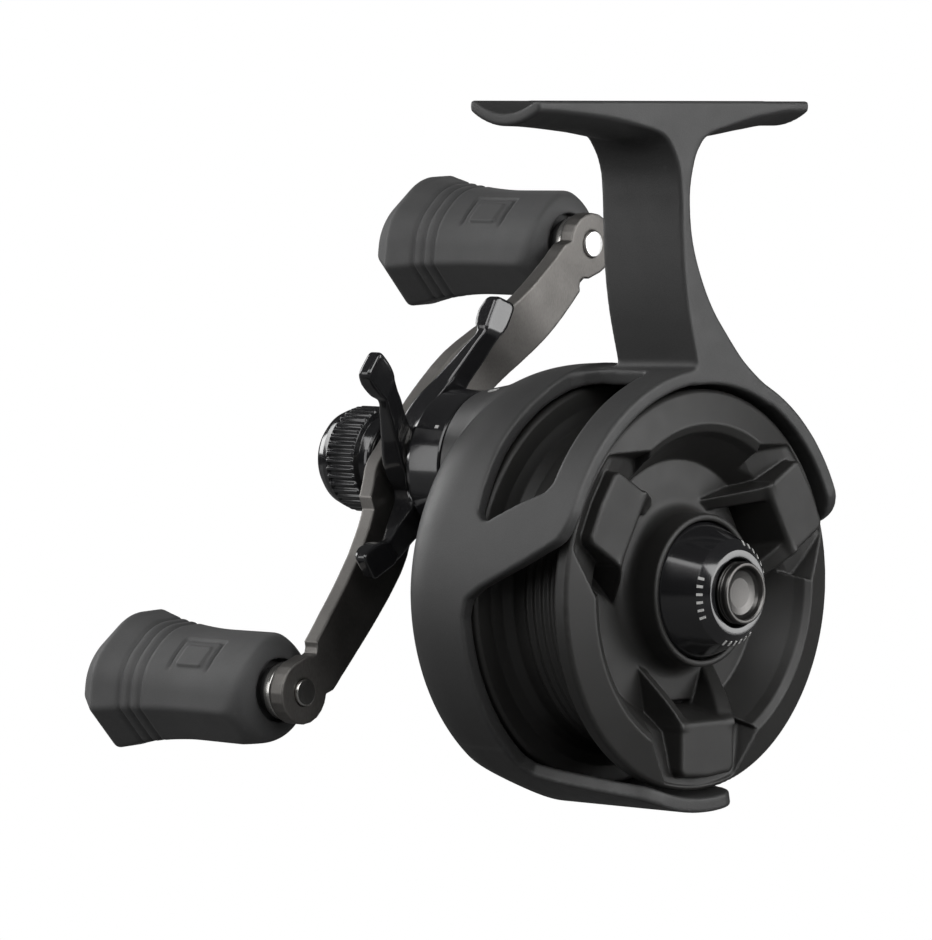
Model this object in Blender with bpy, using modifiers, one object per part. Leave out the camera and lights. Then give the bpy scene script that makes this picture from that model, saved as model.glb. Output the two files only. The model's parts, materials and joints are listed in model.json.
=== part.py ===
"""Inline ice-fishing reel with an open spool, a star drag and a double handle.

The spool turns on the Y axis, with its front face towards -Y and the handle on the +Y side.
The origin lies on the spool axis, in the plane of the spool's front rim.
X runs along the rod, with the rod tip towards -X, and Z points up to the reel foot.
Sizes below are in millimetres.
"""
import math

import bmesh
import bpy
from mathutils import Matrix

MM = 0.001
GAP = 0.3                     # clearance between neighbouring pieces

# ---- driving dimensions -------------------------------------------------------------
SPOOL_R = 30.0                # spool front rim
ARBOR_R = 24.7                # line is wound on this radius
SPOOL_BACK = 19.2             # rear face of the spool's back flange
HOUSING_R = 33.2              # outside of the housing
HOUSING_FRONT = -1.6          # front face of the guard ring
HOUSING_BACK = 32.0           # rear face of the bowl
WALL = 2.3                    # wall of the spool chamber

SHAFT_X, SHAFT_Z = -3.5, 17.25          # handle axis, parallel to the spool axis
BOSS_R = 11.6                 # end of the boss that carries the handle shaft
BOSS_END = 39.0
FOOT_TOP = 72.8
FOOT_X0, FOOT_X1 = -37.0, 23.0
FOOT_Y0, FOOT_Y1 = HOUSING_FRONT, 12.2

GEAR_MODULE = 0.8
DRIVE_TEETH, PINION_TEETH = 32, 12
PRESSURE_ANGLE = math.radians(25)
ADDENDUM, DEDENDUM = 0.8 * GEAR_MODULE, 1.1 * GEAR_MODULE
BACKLASH = 0.16
GEAR_Y0, GEAR_Y1 = 22.6, 25.2

CRANK_ANGLE = math.radians(45.3)        # direction of the upper arm, from +X towards +Z
CRANK_REACH = 46.6            # shaft to rivet
CRANK_HUB_Y, CRANK_END_Y = 54.6, 47.6   # front faces of the crank at its hub and ends
CRANK_T = 2.6
STAR_R = 26.2
STAR_ARMS = 5
STAR_FIRST = 70.5             # degrees, direction of one arm
KNOB_START = 52.7             # inner end of a grip
KNOB_LENGTH = 34.7
BUTTON_FRONT = -9.1

SPOOL_AXIS = (0.0, 0.0)
SHAFT_AXIS = (SHAFT_X, SHAFT_Z)


# ---- scene and materials ------------------------------------------------------------
for old in list(bpy.data.objects):
    bpy.data.objects.remove(old, do_unlink=True)

PARTS = bpy.data.collections.new("inline_ice_reel")
TOOLS = bpy.data.collections.new("cutters")
bpy.context.scene.collection.children.link(PARTS)
bpy.context.scene.collection.children.link(TOOLS)


def finish(name, colour, roughness, metallic):
    material = bpy.data.materials.new(name)
    material.use_nodes = True
    shader = material.node_tree.nodes["Principled BSDF"]
    shader.inputs["Base Color"].default_value = (*colour, 1.0)
    shader.inputs["Roughness"].default_value = roughness
    shader.inputs["Metallic"].default_value = metallic
    return material


MATTE_BLACK = finish("matte_black_paint", (0.035, 0.035, 0.036), 0.62, 0.0)
SPOOL_GREY = finish("spool_grey", (0.042, 0.040, 0.038), 0.5, 0.0)
GLOSS_BLACK = finish("gloss_black_anodising", (0.012, 0.012, 0.013), 0.18, 0.6)
GUNMETAL = finish("gunmetal", (0.09, 0.085, 0.08), 0.35, 0.9)
STEEL = finish("bright_steel", (0.55, 0.54, 0.52), 0.25, 1.0)
BRASS = finish("brass", (0.62, 0.43, 0.16), 0.3, 1.0)
RUBBER = finish("rubber_grip", (0.05, 0.05, 0.052), 0.75, 0.0)
CARBON = finish("carbon_fibre", (0.02, 0.02, 0.02), 0.6, 0.0)
NYLON = finish("black_nylon", (0.015, 0.015, 0.015), 0.5, 0.0)


def shade(obj, angle=30.0):
    obj.data.shade_smooth()
    obj.data.set_sharp_from_angle(angle=math.radians(angle))


def keep(obj, material):
    """Put a piece in the parts collection with its own material."""
    for coll in list(obj.users_collection):
        coll.objects.unlink(obj)
    PARTS.objects.link(obj)
    obj.data.materials.clear()
    obj.data.materials.append(material.copy())
    return obj


def as_tool(obj):
    """Keep an object only as a Boolean operand."""
    for coll in list(obj.users_collection):
        coll.objects.unlink(obj)
    TOOLS.objects.link(obj)
    obj.hide_render = True
    obj.display_type = "WIRE"
    return obj


def combine(target, operand, operation="DIFFERENCE"):
    step = target.modifiers.new(operation.lower(), "BOOLEAN")
    step.operation = operation
    step.object = operand
    step.solver = "EXACT"
    return step


def cut(target, *operands):
    for operand in operands:
        combine(target, as_tool(operand), "DIFFERENCE")


def join(target, *operands):
    for operand in operands:
        combine(target, as_tool(operand), "UNION")


# ---- shape builders -----------------------------------------------------------------
def new_object(name, mesh, location=(0.0, 0.0, 0.0), rotation=(0.0, 0.0, 0.0)):
    obj = bpy.data.objects.new(name, mesh)
    obj.location = [v * MM for v in location]
    obj.rotation_euler = rotation
    bpy.context.scene.collection.objects.link(obj)
    return obj


def turned(name, profile, axis=SPOOL_AXIS, steps=36, closed=False):
    """A shape turned about a line parallel to Y.

    The profile lists (radius, y) from the +Y end down the outer side to the -Y end.
    A closed profile is a ring's whole section; an open one begins and ends on the axis.
    """
    mesh = bpy.data.meshes.new(name)
    points = [(radius * MM, 0.0, y * MM) for radius, y in profile]
    edges = [(i, i + 1) for i in range(len(points) - 1)]
    if closed:
        edges.append((len(points) - 1, 0))
    mesh.from_pydata(points, edges, [])
    obj = new_object(name, mesh, (axis[0], 0.0, axis[1]), (-math.pi / 2, 0.0, 0.0))
    screw = obj.modifiers.new("screw", "SCREW")
    screw.axis = "Z"
    screw.steps = steps
    screw.render_steps = steps
    screw.use_merge_vertices = True
    screw.merge_threshold = 0.000001
    return obj


def ring(name, inner, outer, y0, y1, axis=SPOOL_AXIS, steps=16, edge=0.15):
    """A plain ring or bush with broken outer corners."""
    profile = [(inner, y1), (outer - edge, y1), (outer, y1 - edge), (outer, y0 + edge),
               (outer - edge, y0), (inner, y0)]
    return turned(name, profile, axis, steps, closed=True)


def rod(name, radius, y0, y1, axis=SPOOL_AXIS, steps=24):
    """A plain round bar parallel to Y, used for pins and as a cutter."""
    return turned(name, [(0, y1), (radius, y1), (radius, y0), (0, y0)], axis, steps)


def frozen(obj):
    """Turn an object's evaluated shape into a plain mesh object of the same name."""
    bpy.context.view_layer.update()
    graph = bpy.context.evaluated_depsgraph_get()
    mesh = bpy.data.meshes.new_from_object(obj.evaluated_get(graph))
    work = bmesh.new()
    work.from_mesh(mesh)
    bmesh.ops.remove_doubles(work, verts=work.verts, dist=0.000002)
    bmesh.ops.recalc_face_normals(work, faces=work.faces)
    work.to_mesh(mesh)
    work.free()
    name = obj.name
    matrix = obj.matrix_world.copy()
    bpy.data.objects.remove(obj, do_unlink=True)
    solid = bpy.data.objects.new(name, mesh)
    solid.matrix_world = matrix
    bpy.context.scene.collection.objects.link(solid)
    return solid


def plate(name, outline, y0, y1, axis=SPOOL_AXIS):
    """A flat outline of (x, z) points about an axis parallel to Y, thick from y0 to y1."""
    curve = bpy.data.curves.new(name, "CURVE")
    curve.dimensions = "2D"
    curve.fill_mode = "BOTH"
    curve.extrude = (y1 - y0) / 2 * MM
    spline = curve.splines.new("POLY")
    spline.points.add(len(outline) - 1)
    for point, (x, z) in zip(spline.points, outline):
        point.co = (x * MM, z * MM, 0.0, 1.0)
    spline.use_cyclic_u = True
    obj = bpy.data.objects.new(name, curve)
    obj.location = (axis[0] * MM, (y0 + y1) / 2 * MM, axis[1] * MM)
    obj.rotation_euler = (math.pi / 2, 0.0, 0.0)
    bpy.context.scene.collection.objects.link(obj)
    return frozen(obj)


def loft(name, sections):
    """A solid through closed sections of equal point count, capped at both ends."""
    work = bmesh.new()
    loops = [[work.verts.new([v * MM for v in p]) for p in section] for section in sections]
    count = len(loops[0])
    for low, high in zip(loops, loops[1:]):
        for i in range(count):
            k = (i + 1) % count
            work.faces.new((low[i], low[k], high[k], high[i]))
    work.faces.new(loops[0])
    work.faces.new(loops[-1])
    bmesh.ops.recalc_face_normals(work, faces=work.faces)
    mesh = bpy.data.meshes.new(name)
    work.to_mesh(mesh)
    work.free()
    return new_object(name, mesh)


def polar(radius, degrees, centre=SPOOL_AXIS):
    angle = math.radians(degrees)
    return (centre[0] + radius * math.cos(angle), centre[1] + radius * math.sin(angle))


def wall_cutter(name, stations, inner=27.0, outer=36.0, step=7.5):
    """A curved block round the spool axis: stations are (degrees, y_front, y_back)."""
    dense = []
    for (a0, f0, b0), (a1, f1, b1) in zip(stations, stations[1:]):
        parts = max(1, math.ceil((a1 - a0) / step))
        for i in range(parts):
            t = i / parts
            dense.append((a0 + (a1 - a0) * t, f0 + (f1 - f0) * t, b0 + (b1 - b0) * t))
    dense.append(stations[-1])
    sections = []
    for degrees, front, back in dense:
        near, far = polar(inner, degrees), polar(outer, degrees)
        sections.append([(near[0], front, near[1]), (far[0], front, far[1]),
                         (far[0], back, far[1]), (near[0], back, near[1])])
    return loft(name, sections)


# ---- housing: bowl, boss, stem and foot in one casting -------------------------------
CHAMBER_R = HOUSING_R - WALL
GEAR_ROOM_R = 31.4            # inside of the gear room behind the spool chamber
PLATE_Y0, PLATE_Y1 = 20.0, 22.0
ROOM_BACK = 30.0              # inner face of the bowl's back
POST_R, POST_RING = 2.6, 26.4
POST_ANGLES = (20, 160, 238, 302)


def rounding(radius, y_back, across, along, count):
    """Quarter ellipse from the back face down to the side of a bowl, as (radius, y)."""
    points = []
    for i in range(count + 1):
        a = math.pi / 2 * (1 - i / count)
        points.append((radius - across * (1 - math.cos(a)), y_back - along * (1 - math.sin(a))))
    return points


def build_housing():
    outer = rounding(HOUSING_R, HOUSING_BACK, 7.8, 10.5, 7)
    inner = rounding(GEAR_ROOM_R, ROOM_BACK, 7.0, 6.4, 4)
    profile = [(0, HOUSING_BACK)] + outer
    profile += [(HOUSING_R, HOUSING_FRONT + 0.4), (HOUSING_R - 0.4, HOUSING_FRONT),
                (CHAMBER_R + 0.3, HOUSING_FRONT), (CHAMBER_R, HOUSING_FRONT + 0.3),
                (CHAMBER_R, PLATE_Y1 + 0.4), (GEAR_ROOM_R, PLATE_Y1 + 0.9)]
    profile += list(reversed(inner)) + [(0, ROOM_BACK)]
    housing = turned("main_housing", profile, steps=42)

    boss = turned("boss", [(0, BOSS_END), (BOSS_R - 0.4, BOSS_END), (BOSS_R, BOSS_END - 0.4),
                           (BOSS_R + 0.5, 36.0), (BOSS_R + 1.0, 33.0), (BOSS_R + 1.5, 30.9),
                           (0, 30.9)], SHAFT_AXIS, 32)
    seat = rod("rear_bearing_seat", 6.6, 27.0, ROOM_BACK + 0.7, steps=22)
    join(housing, boss, seat)
    for i, angle in enumerate(POST_ANGLES):
        centre = polar(POST_RING, angle)
        join(housing, rod(f"post_{i}", POST_R, PLATE_Y1 + GAP, ROOM_BACK + 0.5, centre, 8))
    join(housing, build_foot(), build_stem())

    bores = [rod("boss_bore", 7.0, 29.0, BOSS_END + 1, SHAFT_AXIS, 26),
             rod("rear_bearing_bore", 5.3, 26.0, 29.9, steps=26)]
    cut(housing, *bores)
    for i, angle in enumerate(POST_ANGLES):
        cut(housing, rod(f"post_bore_{i}", 1.3, 21.0, 29.0, polar(POST_RING, angle), 8))
    cut(housing, *build_windows())
    return keep(housing, MATTE_BLACK)


def build_windows():
    """The slanted upper window, the line window at the lower left and the palming side."""
    front, back = 4.2, 17.8
    upper = [(100.0, 6.4, 14.2), (103.0, 4.8, 16.6), (107.0, front, back), (148.5, front, back),
             (151.5, 5.2, back), (158.5, 13.6, back), (161.0, 16.4, 17.5)]
    beyond = HOUSING_FRONT - 3.0
    line_side = [(160.5, beyond, -1.8), (164.0, beyond, -0.3), (171.0, beyond, 6.7),
                 (178.0, beyond, 14.4), (181.0, beyond, 17.0), (184.5, beyond, back),
                 (232.5, beyond, back), (236.5, beyond, 17.0), (239.0, beyond, 14.0),
                 (246.5, beyond, 0.0), (248.0, beyond, -1.8)]
    palm_side = [(282.0, beyond, -1.8), (285.5, beyond, 6.0), (291.0, beyond, 16.5),
                 (295.0, beyond, back), (362.0, beyond, back), (367.0, beyond, 16.2),
                 (376.0, beyond, 2.0), (380.0, beyond, -1.8)]
    return [wall_cutter("upper_window", upper), wall_cutter("line_window", line_side),
            wall_cutter("palm_window", palm_side)]


def build_foot():
    """A reel foot: a thin saddle, hollow on top between two rails."""
    middle = (FOOT_Y0 + FOOT_Y1) / 2
    half = (FOOT_Y1 - FOOT_Y0) / 2
    land, hollow, belly = 1.0, 1.8, 2.5
    stations = [(FOOT_X0, 1.1, 1.6), (FOOT_X0 + 1.0, 1.3, 0.6), (FOOT_X0 + 3.0, 1.6, 0.0),
                (-24.0, 2.5, 0.0), (-13.5, 3.5, 0.0), (4.0, 3.3, 0.0), (13.0, 2.2, 0.0),
                (FOOT_X1 - 3.0, 1.3, 0.0), (FOOT_X1 - 1.0, 1.1, 0.6), (FOOT_X1, 1.0, 1.6)]
    sections = []
    for x, edge, narrow in stations:
        reach = half - narrow
        top = []
        bottom = []
        for i in range(9):
            t = -1 + 2 * i / 8
            top.append((x, middle + t * (reach - land), FOOT_TOP - hollow * (1 - t * t)))
            bottom.append((x, middle - t * reach, FOOT_TOP - edge - belly * (1 - t * t)))
        rails = [(x, middle - reach, FOOT_TOP)], [(x, middle + reach, FOOT_TOP)]
        sections.append(rails[0] + top + rails[1] + bottom)
    return loft("foot", sections)


def build_stem():
    """A wedge-shaped neck, narrow at its front face, that sweeps into the guard ring."""
    stations = [(69.35, -14.0, 4.4), (68.0, -10.6, 0.3), (65.9, -8.4, -2.1), (62.8, -6.8, -3.5),
                (58.5, -6.2, -4.2), (52.0, -5.95, -3.5), (46.0, -5.4, -1.2), (41.5, -4.6, 1.5),
                (38.0, -3.7, 4.5), (34.5, -2.7, 7.8), (31.6, -2.0, 11.2)]
    front, back = FOOT_Y0 + 0.06, FOOT_Y1 - 0.06
    sections = []
    for z, left, right in stations:
        sections.append([(left, front, z), (right, front, z), (right + 1.4, 5.0, z),
                         (right + 2.6, back - 0.6, z), (right + 2.0, back, z),
                         (left - 2.4, back, z), (left - 3.0, back - 0.6, z),
                         (left - 1.2, 5.0, z)])
    return loft("stem", sections)


# ---- gear plate and bearings ---------------------------------------------------------
def build_gear_plate():
    disc = turned("gear_plate", [(0, PLATE_Y1), (30.2, PLATE_Y1), (30.5, PLATE_Y1 - 0.3),
                                 (30.5, PLATE_Y0), (0, PLATE_Y0)], steps=32)
    holes = [rod("front_bearing_bore", 5.3, PLATE_Y0 - 1, PLATE_Y1 + 1, steps=16),
             rod("shaft_bearing_bore", 5.3, PLATE_Y0 - 1, PLATE_Y1 + 1, SHAFT_AXIS, 16)]
    cut(disc, *holes)
    for i, angle in enumerate(POST_ANGLES):
        centre = polar(POST_RING, angle)
        cut(disc, turned(f"plate_hole_{i}", [(0, 23.0), (1.35, 23.0), (1.35, 21.1),
                                             (2.5, 20.9), (2.5, 19.0), (0, 19.0)],
                         centre, 8))
    keep(disc, NYLON)


def build_plate_screws():
    for i, angle in enumerate(POST_ANGLES):
        screw = turned(f"plate_screw_{i + 1}",
                       [(0, 27.5), (0.95, 27.1), (0.95, 21.0), (2.1, 20.9), (2.1, 20.4),
                        (1.8, 20.15), (0, 20.15)], polar(POST_RING, angle), 8)
        slot = new_box(f"screw_slot_{i}", (0.5, 0.5, 3.0), (*polar(POST_RING, angle), 20.15))
        cut(screw, slot)
        keep(screw, STEEL)


def new_box(name, size, place):
    """A box cutter: size along x, y, z and its centre as (x, z, y)."""
    mesh = bpy.data.meshes.new(name)
    work = bmesh.new()
    bmesh.ops.create_cube(work, size=1.0)
    bmesh.ops.scale(work, vec=[v * MM for v in size], verts=work.verts)
    work.to_mesh(mesh)
    work.free()
    return new_object(name, mesh, (place[0], place[2], place[1]))


def ball_bearing(name, inner, outer, y0, y1, axis):
    """A shielded ball bearing, with its shields dished between the two races."""
    middle = (inner + outer) / 2
    dish = 0.25
    profile = [(inner, y1), (middle, y1 - dish), (outer, y1), (outer, y0), (middle, y0 + dish),
               (inner, y0)]
    return keep(turned(name, profile, axis, 16, closed=True), STEEL)


# ---- gears ---------------------------------------------------------------------------
def gear_outline(teeth, phase):
    """Involute spur gear outline about its own axis, tooth 0 centred on the phase angle."""
    pitch = GEAR_MODULE * teeth / 2
    base = pitch * math.cos(PRESSURE_ANGLE)
    tip, root = pitch + ADDENDUM, pitch - DEDENDUM
    half_at_pitch = math.pi / (2 * teeth) - BACKLASH / (4 * pitch)
    involute = math.tan(PRESSURE_ANGLE) - PRESSURE_ANGLE

    def half_angle(radius):
        roll = math.acos(min(1.0, base / max(radius, base)))
        return half_at_pitch + involute - (math.tan(roll) - roll)

    start = max(base, root)
    flank = [start + (tip - start) * i / 2 for i in range(3)]
    points = []
    for tooth in range(teeth):
        mid = phase + 2 * math.pi * tooth / teeth
        side = [(root, half_angle(start))] if root < start else []
        side += [(r, half_angle(r)) for r in flank]
        for r, a in side:
            points.append((r * math.cos(mid - a), r * math.sin(mid - a)))
        for r, a in reversed(side):
            points.append((r * math.cos(mid + a), r * math.sin(mid + a)))
    return points


def build_gears():
    """Drive gear on the handle shaft and pinion on the spool shaft, meshing at rest."""
    towards_spool = math.atan2(-SHAFT_Z, -SHAFT_X)
    drive = plate("drive_gear", gear_outline(DRIVE_TEETH, towards_spool), GEAR_Y0, GEAR_Y1,
                  SHAFT_AXIS)
    cut(drive, rod("drive_gear_bore", 3.9, GEAR_Y0 - 1, GEAR_Y1 + 1, SHAFT_AXIS, 20))
    keep(drive, BRASS)
    half_tooth = math.pi / PINION_TEETH
    phase = towards_spool + math.pi + half_tooth
    pinion = plate("pinion_gear", gear_outline(PINION_TEETH, phase), GEAR_Y0 - 0.3,
                   GEAR_Y1 + 0.6)
    cut(pinion, rod("pinion_bore", 2.6, GEAR_Y0 - 1, GEAR_Y1 + 2, steps=16))
    keep(pinion, STEEL)


# ---- spool ---------------------------------------------------------------------------
LUG_ANGLES = (270.0, 30.0, 150.0)
RIM_Y, INNER_RIM_Y, INNER_RIM_R = 0.0, -1.3, 24.9
FLOOR_Y, FLOOR_R = 5.2, 19.3
HUB_HOLE_R = 12.3
LUG_FRONT = -1.85


def build_spool():
    """Open-fronted spool: conical front ring, dished face, arbor and back flange."""
    front = [(SPOOL_R - 0.5, RIM_Y), (INNER_RIM_R, INNER_RIM_Y), (INNER_RIM_R - 1.4, -0.5),
             (22.8, 1.6), (21.4, 3.6), (FLOOR_R, FLOOR_Y), (HUB_HOLE_R + 1.0, FLOOR_Y - 0.4),
             (HUB_HOLE_R, FLOOR_Y + 0.6), (HUB_HOLE_R, 8.4), (6.2, 8.4), (6.2, 12.0),
             (2.8, 12.0)]
    outer = [(2.8, SPOOL_BACK - 0.2), (6.4, SPOOL_BACK - 0.2), (6.4, 10.6), (22.9, 9.6),
             (22.9, SPOOL_BACK - 0.6), (29.9, SPOOL_BACK), (30.4, SPOOL_BACK - 0.4),
             (30.4, 17.9), (30.0, 17.5), (27.4, 17.2), (25.6, 16.4), (ARBOR_R, 15.2)]
    rear_of_rim = [(ARBOR_R, 4.0), (25.6, 3.2), (29.2, 2.7), (SPOOL_R - 0.2, 2.5),
                   (SPOOL_R, 2.2), (SPOOL_R, 0.4)]
    spool = turned("spool", outer + rear_of_rim + front, steps=32, closed=True)
    for i, angle in enumerate(LUG_ANGLES):
        turn = math.radians(angle - 270.0)
        cut(spool, spin(lug_seat(f"lug_seat_{i}"), turn))
        join(spool, spin(lug(f"lug_{i}"), turn))
    return keep(spool, SPOOL_GREY)


def spin(obj, angle):
    """Turn a shape that was built for the lowest lug about the spool axis."""
    obj.data.transform(Matrix.Rotation(-angle, 4, "Y"))
    return obj


def lug_seat(name):
    """The stepped pocket that the front ring has round each lug."""
    outline_top = [(-9.6, -20.4), (-8.9, -27.4), (-7.0, -28.6), (7.0, -28.6), (8.9, -27.4),
                   (9.6, -20.4)]
    low = [(x, 1.4 if z > -22 else -0.2, z) for x, z in outline_top]
    high = [(x * 1.12, -4.0, z) for x, z in outline_top]
    return loft(name, [low, high])


def lug(name):
    """A raised block on the rim with two legs that fall back to the hub."""
    block = [(-6.1, -19.4), (-6.1, -26.6), (-5.2, -27.6), (0.0, -28.0), (5.2, -27.6),
             (6.1, -26.6), (6.1, -19.4)]
    body = loft(name, [[(x, LUG_FRONT, z) for x, z in block],
                       [(x * 1.06, 3.4, z) for x, z in block]])
    for side in (-1, 1):
        outline = [(6.1, -19.6), (3.4, -19.6), (4.9, -12.6), (8.2, -11.4)]
        top = [LUG_FRONT, LUG_FRONT, FLOOR_Y - 1.4, FLOOR_Y - 1.4]
        front = [(side * x, y, z) for (x, z), y in zip(outline, top)]
        back = [(side * x, 7.0, z) for x, z in outline]
        join(body, loft(f"{name}_leg_{side}", [front, back]))
    return frozen(body)


def build_spool_group():
    build_spool()
    shaft = turned("spool_shaft", [(0, 29.6), (2.2, 29.6), (2.5, 29.3), (2.5, 8.9), (2.2, 8.2),
                                   (2.2, 7.6), (2.5, 7.0), (2.5, 3.0), (2.0, 2.5), (0, 2.5)],
                   steps=16)
    keep(shaft, STEEL)
    knob = [(3.1, 8.0), (11.1, 8.0), (11.4, 7.7), (11.4, -0.8), (11.1, -1.1), (10.4, -1.1),
            (10.4, -0.7), (10.1, -0.7), (8.1, -5.4), (6.5, -7.3), (6.2, -7.5), (5.4, -7.5),
            (5.1, -7.2), (5.1, 5.4), (3.1, 5.4)]
    keep(turned("release_knob", knob, steps=24, closed=True), GLOSS_BLACK)
    button = [(0, 0.4), (3.9, 0.4), (4.0, 0.2), (4.0, -1.0), (4.65, -1.3),
              (4.65, BUTTON_FRONT + 0.3), (4.35, BUTTON_FRONT), (3.8, BUTTON_FRONT),
              (3.5, BUTTON_FRONT + 0.4), (0, BUTTON_FRONT + 0.9)]
    keep(turned("release_button", button, steps=18), GUNMETAL)
    keep(coil("release_spring", 3.6, 0.25, 0.95, 4.85, 3.0), STEEL)


def coil(name, radius, wire, y0, y1, turns):
    """A round-wire compression spring about the spool axis."""
    curve = bpy.data.curves.new(name, "CURVE")
    curve.dimensions = "3D"
    curve.bevel_depth = wire * MM
    curve.bevel_resolution = 2
    curve.use_fill_caps = True
    spline = curve.splines.new("POLY")
    count = int(turns * 9) + 1
    spline.points.add(count - 1)
    for i, point in enumerate(spline.points):
        t = i / (count - 1)
        x, z = polar(radius, 360 * turns * t)
        y = y0 + (y1 - y0) * t
        point.co = (x * MM, y * MM, z * MM, 1.0)
    obj = bpy.data.objects.new(name, curve)
    bpy.context.scene.collection.objects.link(obj)
    return frozen(obj)


# ---- handle shaft, drag stack and anti-reverse ---------------------------------------
def build_handle_shaft_group():
    axis = SHAFT_AXIS
    keep(turned("handle_shaft", [(0, 63.0), (1.9, 63.0), (2.2, 62.6), (2.2, 54.2), (2.5, 54.0),
                                 (2.5, 22.6), (3.6, 22.6), (3.6, 22.3), (2.5, 22.2),
                                 (2.5, 20.3), (0, 20.3)], axis, 16), STEEL)
    keep(ring("drag_washer_carbon", 3.9, 10.2, GEAR_Y1 + 0.3, GEAR_Y1 + 1.0, axis, 20, 0.1),
         CARBON)
    keep(ring("drag_pressure_plate", 3.2, 10.0, GEAR_Y1 + 1.3, GEAR_Y1 + 2.4, axis, 20), STEEL)
    keep(ring("clutch_sleeve", 2.8, 4.0, 28.0, 48.6, axis), STEEL)
    keep(ring("one_way_clutch", 4.3, 6.7, 29.6, 34.9, axis), STEEL)
    ball_bearing("boss_bearing", 4.3, 6.7, 35.3, 38.6, axis)
    keep(turned("anti_reverse_ring",
                [(4.4, 46.3), (10.4, 46.3), (11.2, 45.9), (11.5, 45.0), (11.5, 39.6),
                 (11.2, 39.3), (4.4, 39.3)], axis, 28, closed=True), GLOSS_BLACK)
    for i in range(2):
        y = 46.6 + i * 1.0
        keep(turned(f"drag_spring_washer_{i + 1}",
                    [(4.4, y + 0.7), (7.6, y + 0.35), (7.6, y), (4.4, y + 0.35)],
                    axis, 16, closed=True), STEEL)


def star_outline():
    """Slim arms with concave flanks, as (x, z) points about the shaft."""
    points = []
    step = 360.0 / STAR_ARMS
    for arm in range(STAR_ARMS):
        mid = STAR_FIRST + arm * step
        half = [(9.4, 26.0), (12.5, 14.5), (17.0, 8.4), (21.5, 6.3), (24.4, 6.2), (25.8, 5.0)]
        for radius, width in half:
            points.append(polar(radius, mid - width))
        points.append(polar(STAR_R, mid))
        for radius, width in reversed(half):
            points.append(polar(radius, mid + width))
    return points


def build_star():
    """Star drag wheel: arms dished towards the housing with tips curled outwards."""
    section = [(2.9, 53.4), (6.0, 53.4), (6.6, 52.9), (9.6, 52.2), (13.0, 50.2), (18.0, 47.2),
               (21.6, 45.7), (22.2, 46.3), (24.8, 46.0), (27.4, 45.0), (27.4, 40.9),
               (24.8, 41.8), (22.0, 42.6), (18.0, 44.4), (13.0, 47.4), (9.0, 49.2),
               (2.9, 49.4)]
    star = turned("star_drag_wheel", section, SHAFT_AXIS, 30, closed=True)
    plan = plate("star_plan", star_outline(), 38.0, 56.0, SHAFT_AXIS)
    combine(star, as_tool(plan), "INTERSECT")
    return keep(star, GLOSS_BLACK)


# ---- crank ---------------------------------------------------------------------------
CRANK_HEAD_R = 4.9
# Half widths of one arm at distance s from the shaft, on its leading and its trailing edge.
ARM_WIDTHS = [(0.0, 6.2, 6.2), (6.0, 6.3, 6.1), (12.4, 6.5, 5.6), (13.6, 6.6, 4.0),
              (17.0, 6.6, 3.6), (22.0, 6.3, 3.2), (28.0, 5.7, 3.2), (34.0, 5.1, 3.3),
              (39.6, 4.7, 3.1), (41.0, 4.7, 2.4), (42.4, 4.6, 3.4)]


def crank_line(s):
    """Front face of the crank at distance s from the shaft."""
    flat, fall = 7.0, 11.0
    t = max(abs(s) - flat, 0.0) / fall
    return CRANK_END_Y + (CRANK_HUB_Y - CRANK_END_Y) * math.exp(-t * t / (1.0 + 0.55 * t))


def crank_outline():
    """Plan of the crank as (s, w), one arm being the other turned half a turn."""
    head = [(CRANK_REACH + CRANK_HEAD_R * math.cos(a), CRANK_HEAD_R * math.sin(a))
            for a in (math.radians(d) for d in (128, 104, 80, 56, 32, 8, -16, -40, -64, -88, -112))]
    leading = [(s, w) for s, w, _ in ARM_WIDTHS]
    trailing = [(s, -w) for s, _, w in reversed(ARM_WIDTHS)]
    arm = leading + head + trailing[:-1]
    return arm + [(-s, -w) for s, w in arm]


def build_crank():
    """The two-armed crank: a bent strip trimmed to its plan."""
    stations = [i * 3.0 for i in range(-18, 19)]
    section_low = [(s, crank_line(s)) for s in stations]
    section_high = [(s, crank_line(s) + CRANK_T) for s in reversed(stations)]
    outline = section_low + section_high
    sections = [[(s, y, -8.0) for s, y in outline], [(s, y, 8.0) for s, y in outline]]
    crank = loft("crank_arm", sections)
    combine(crank, as_tool(plate("crank_plan", crank_outline(), 44.0, 60.0)), "INTERSECT")
    for side in (-1, 1):
        cut(crank, rod(f"rivet_bore_{side}", 2.3, 44.0, 54.0, (side * CRANK_REACH, 0.0), 16))
    cut(crank, rod("hub_bore", 2.5, 50.0, 60.0, (0.0, 0.0), 16))
    crank = frozen(crank)
    crank.data.transform(Matrix.Rotation(-CRANK_ANGLE, 4, "Y"))
    crank.location = (SHAFT_X * MM, 0.0, SHAFT_Z * MM)
    return keep(crank, GUNMETAL)


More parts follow.
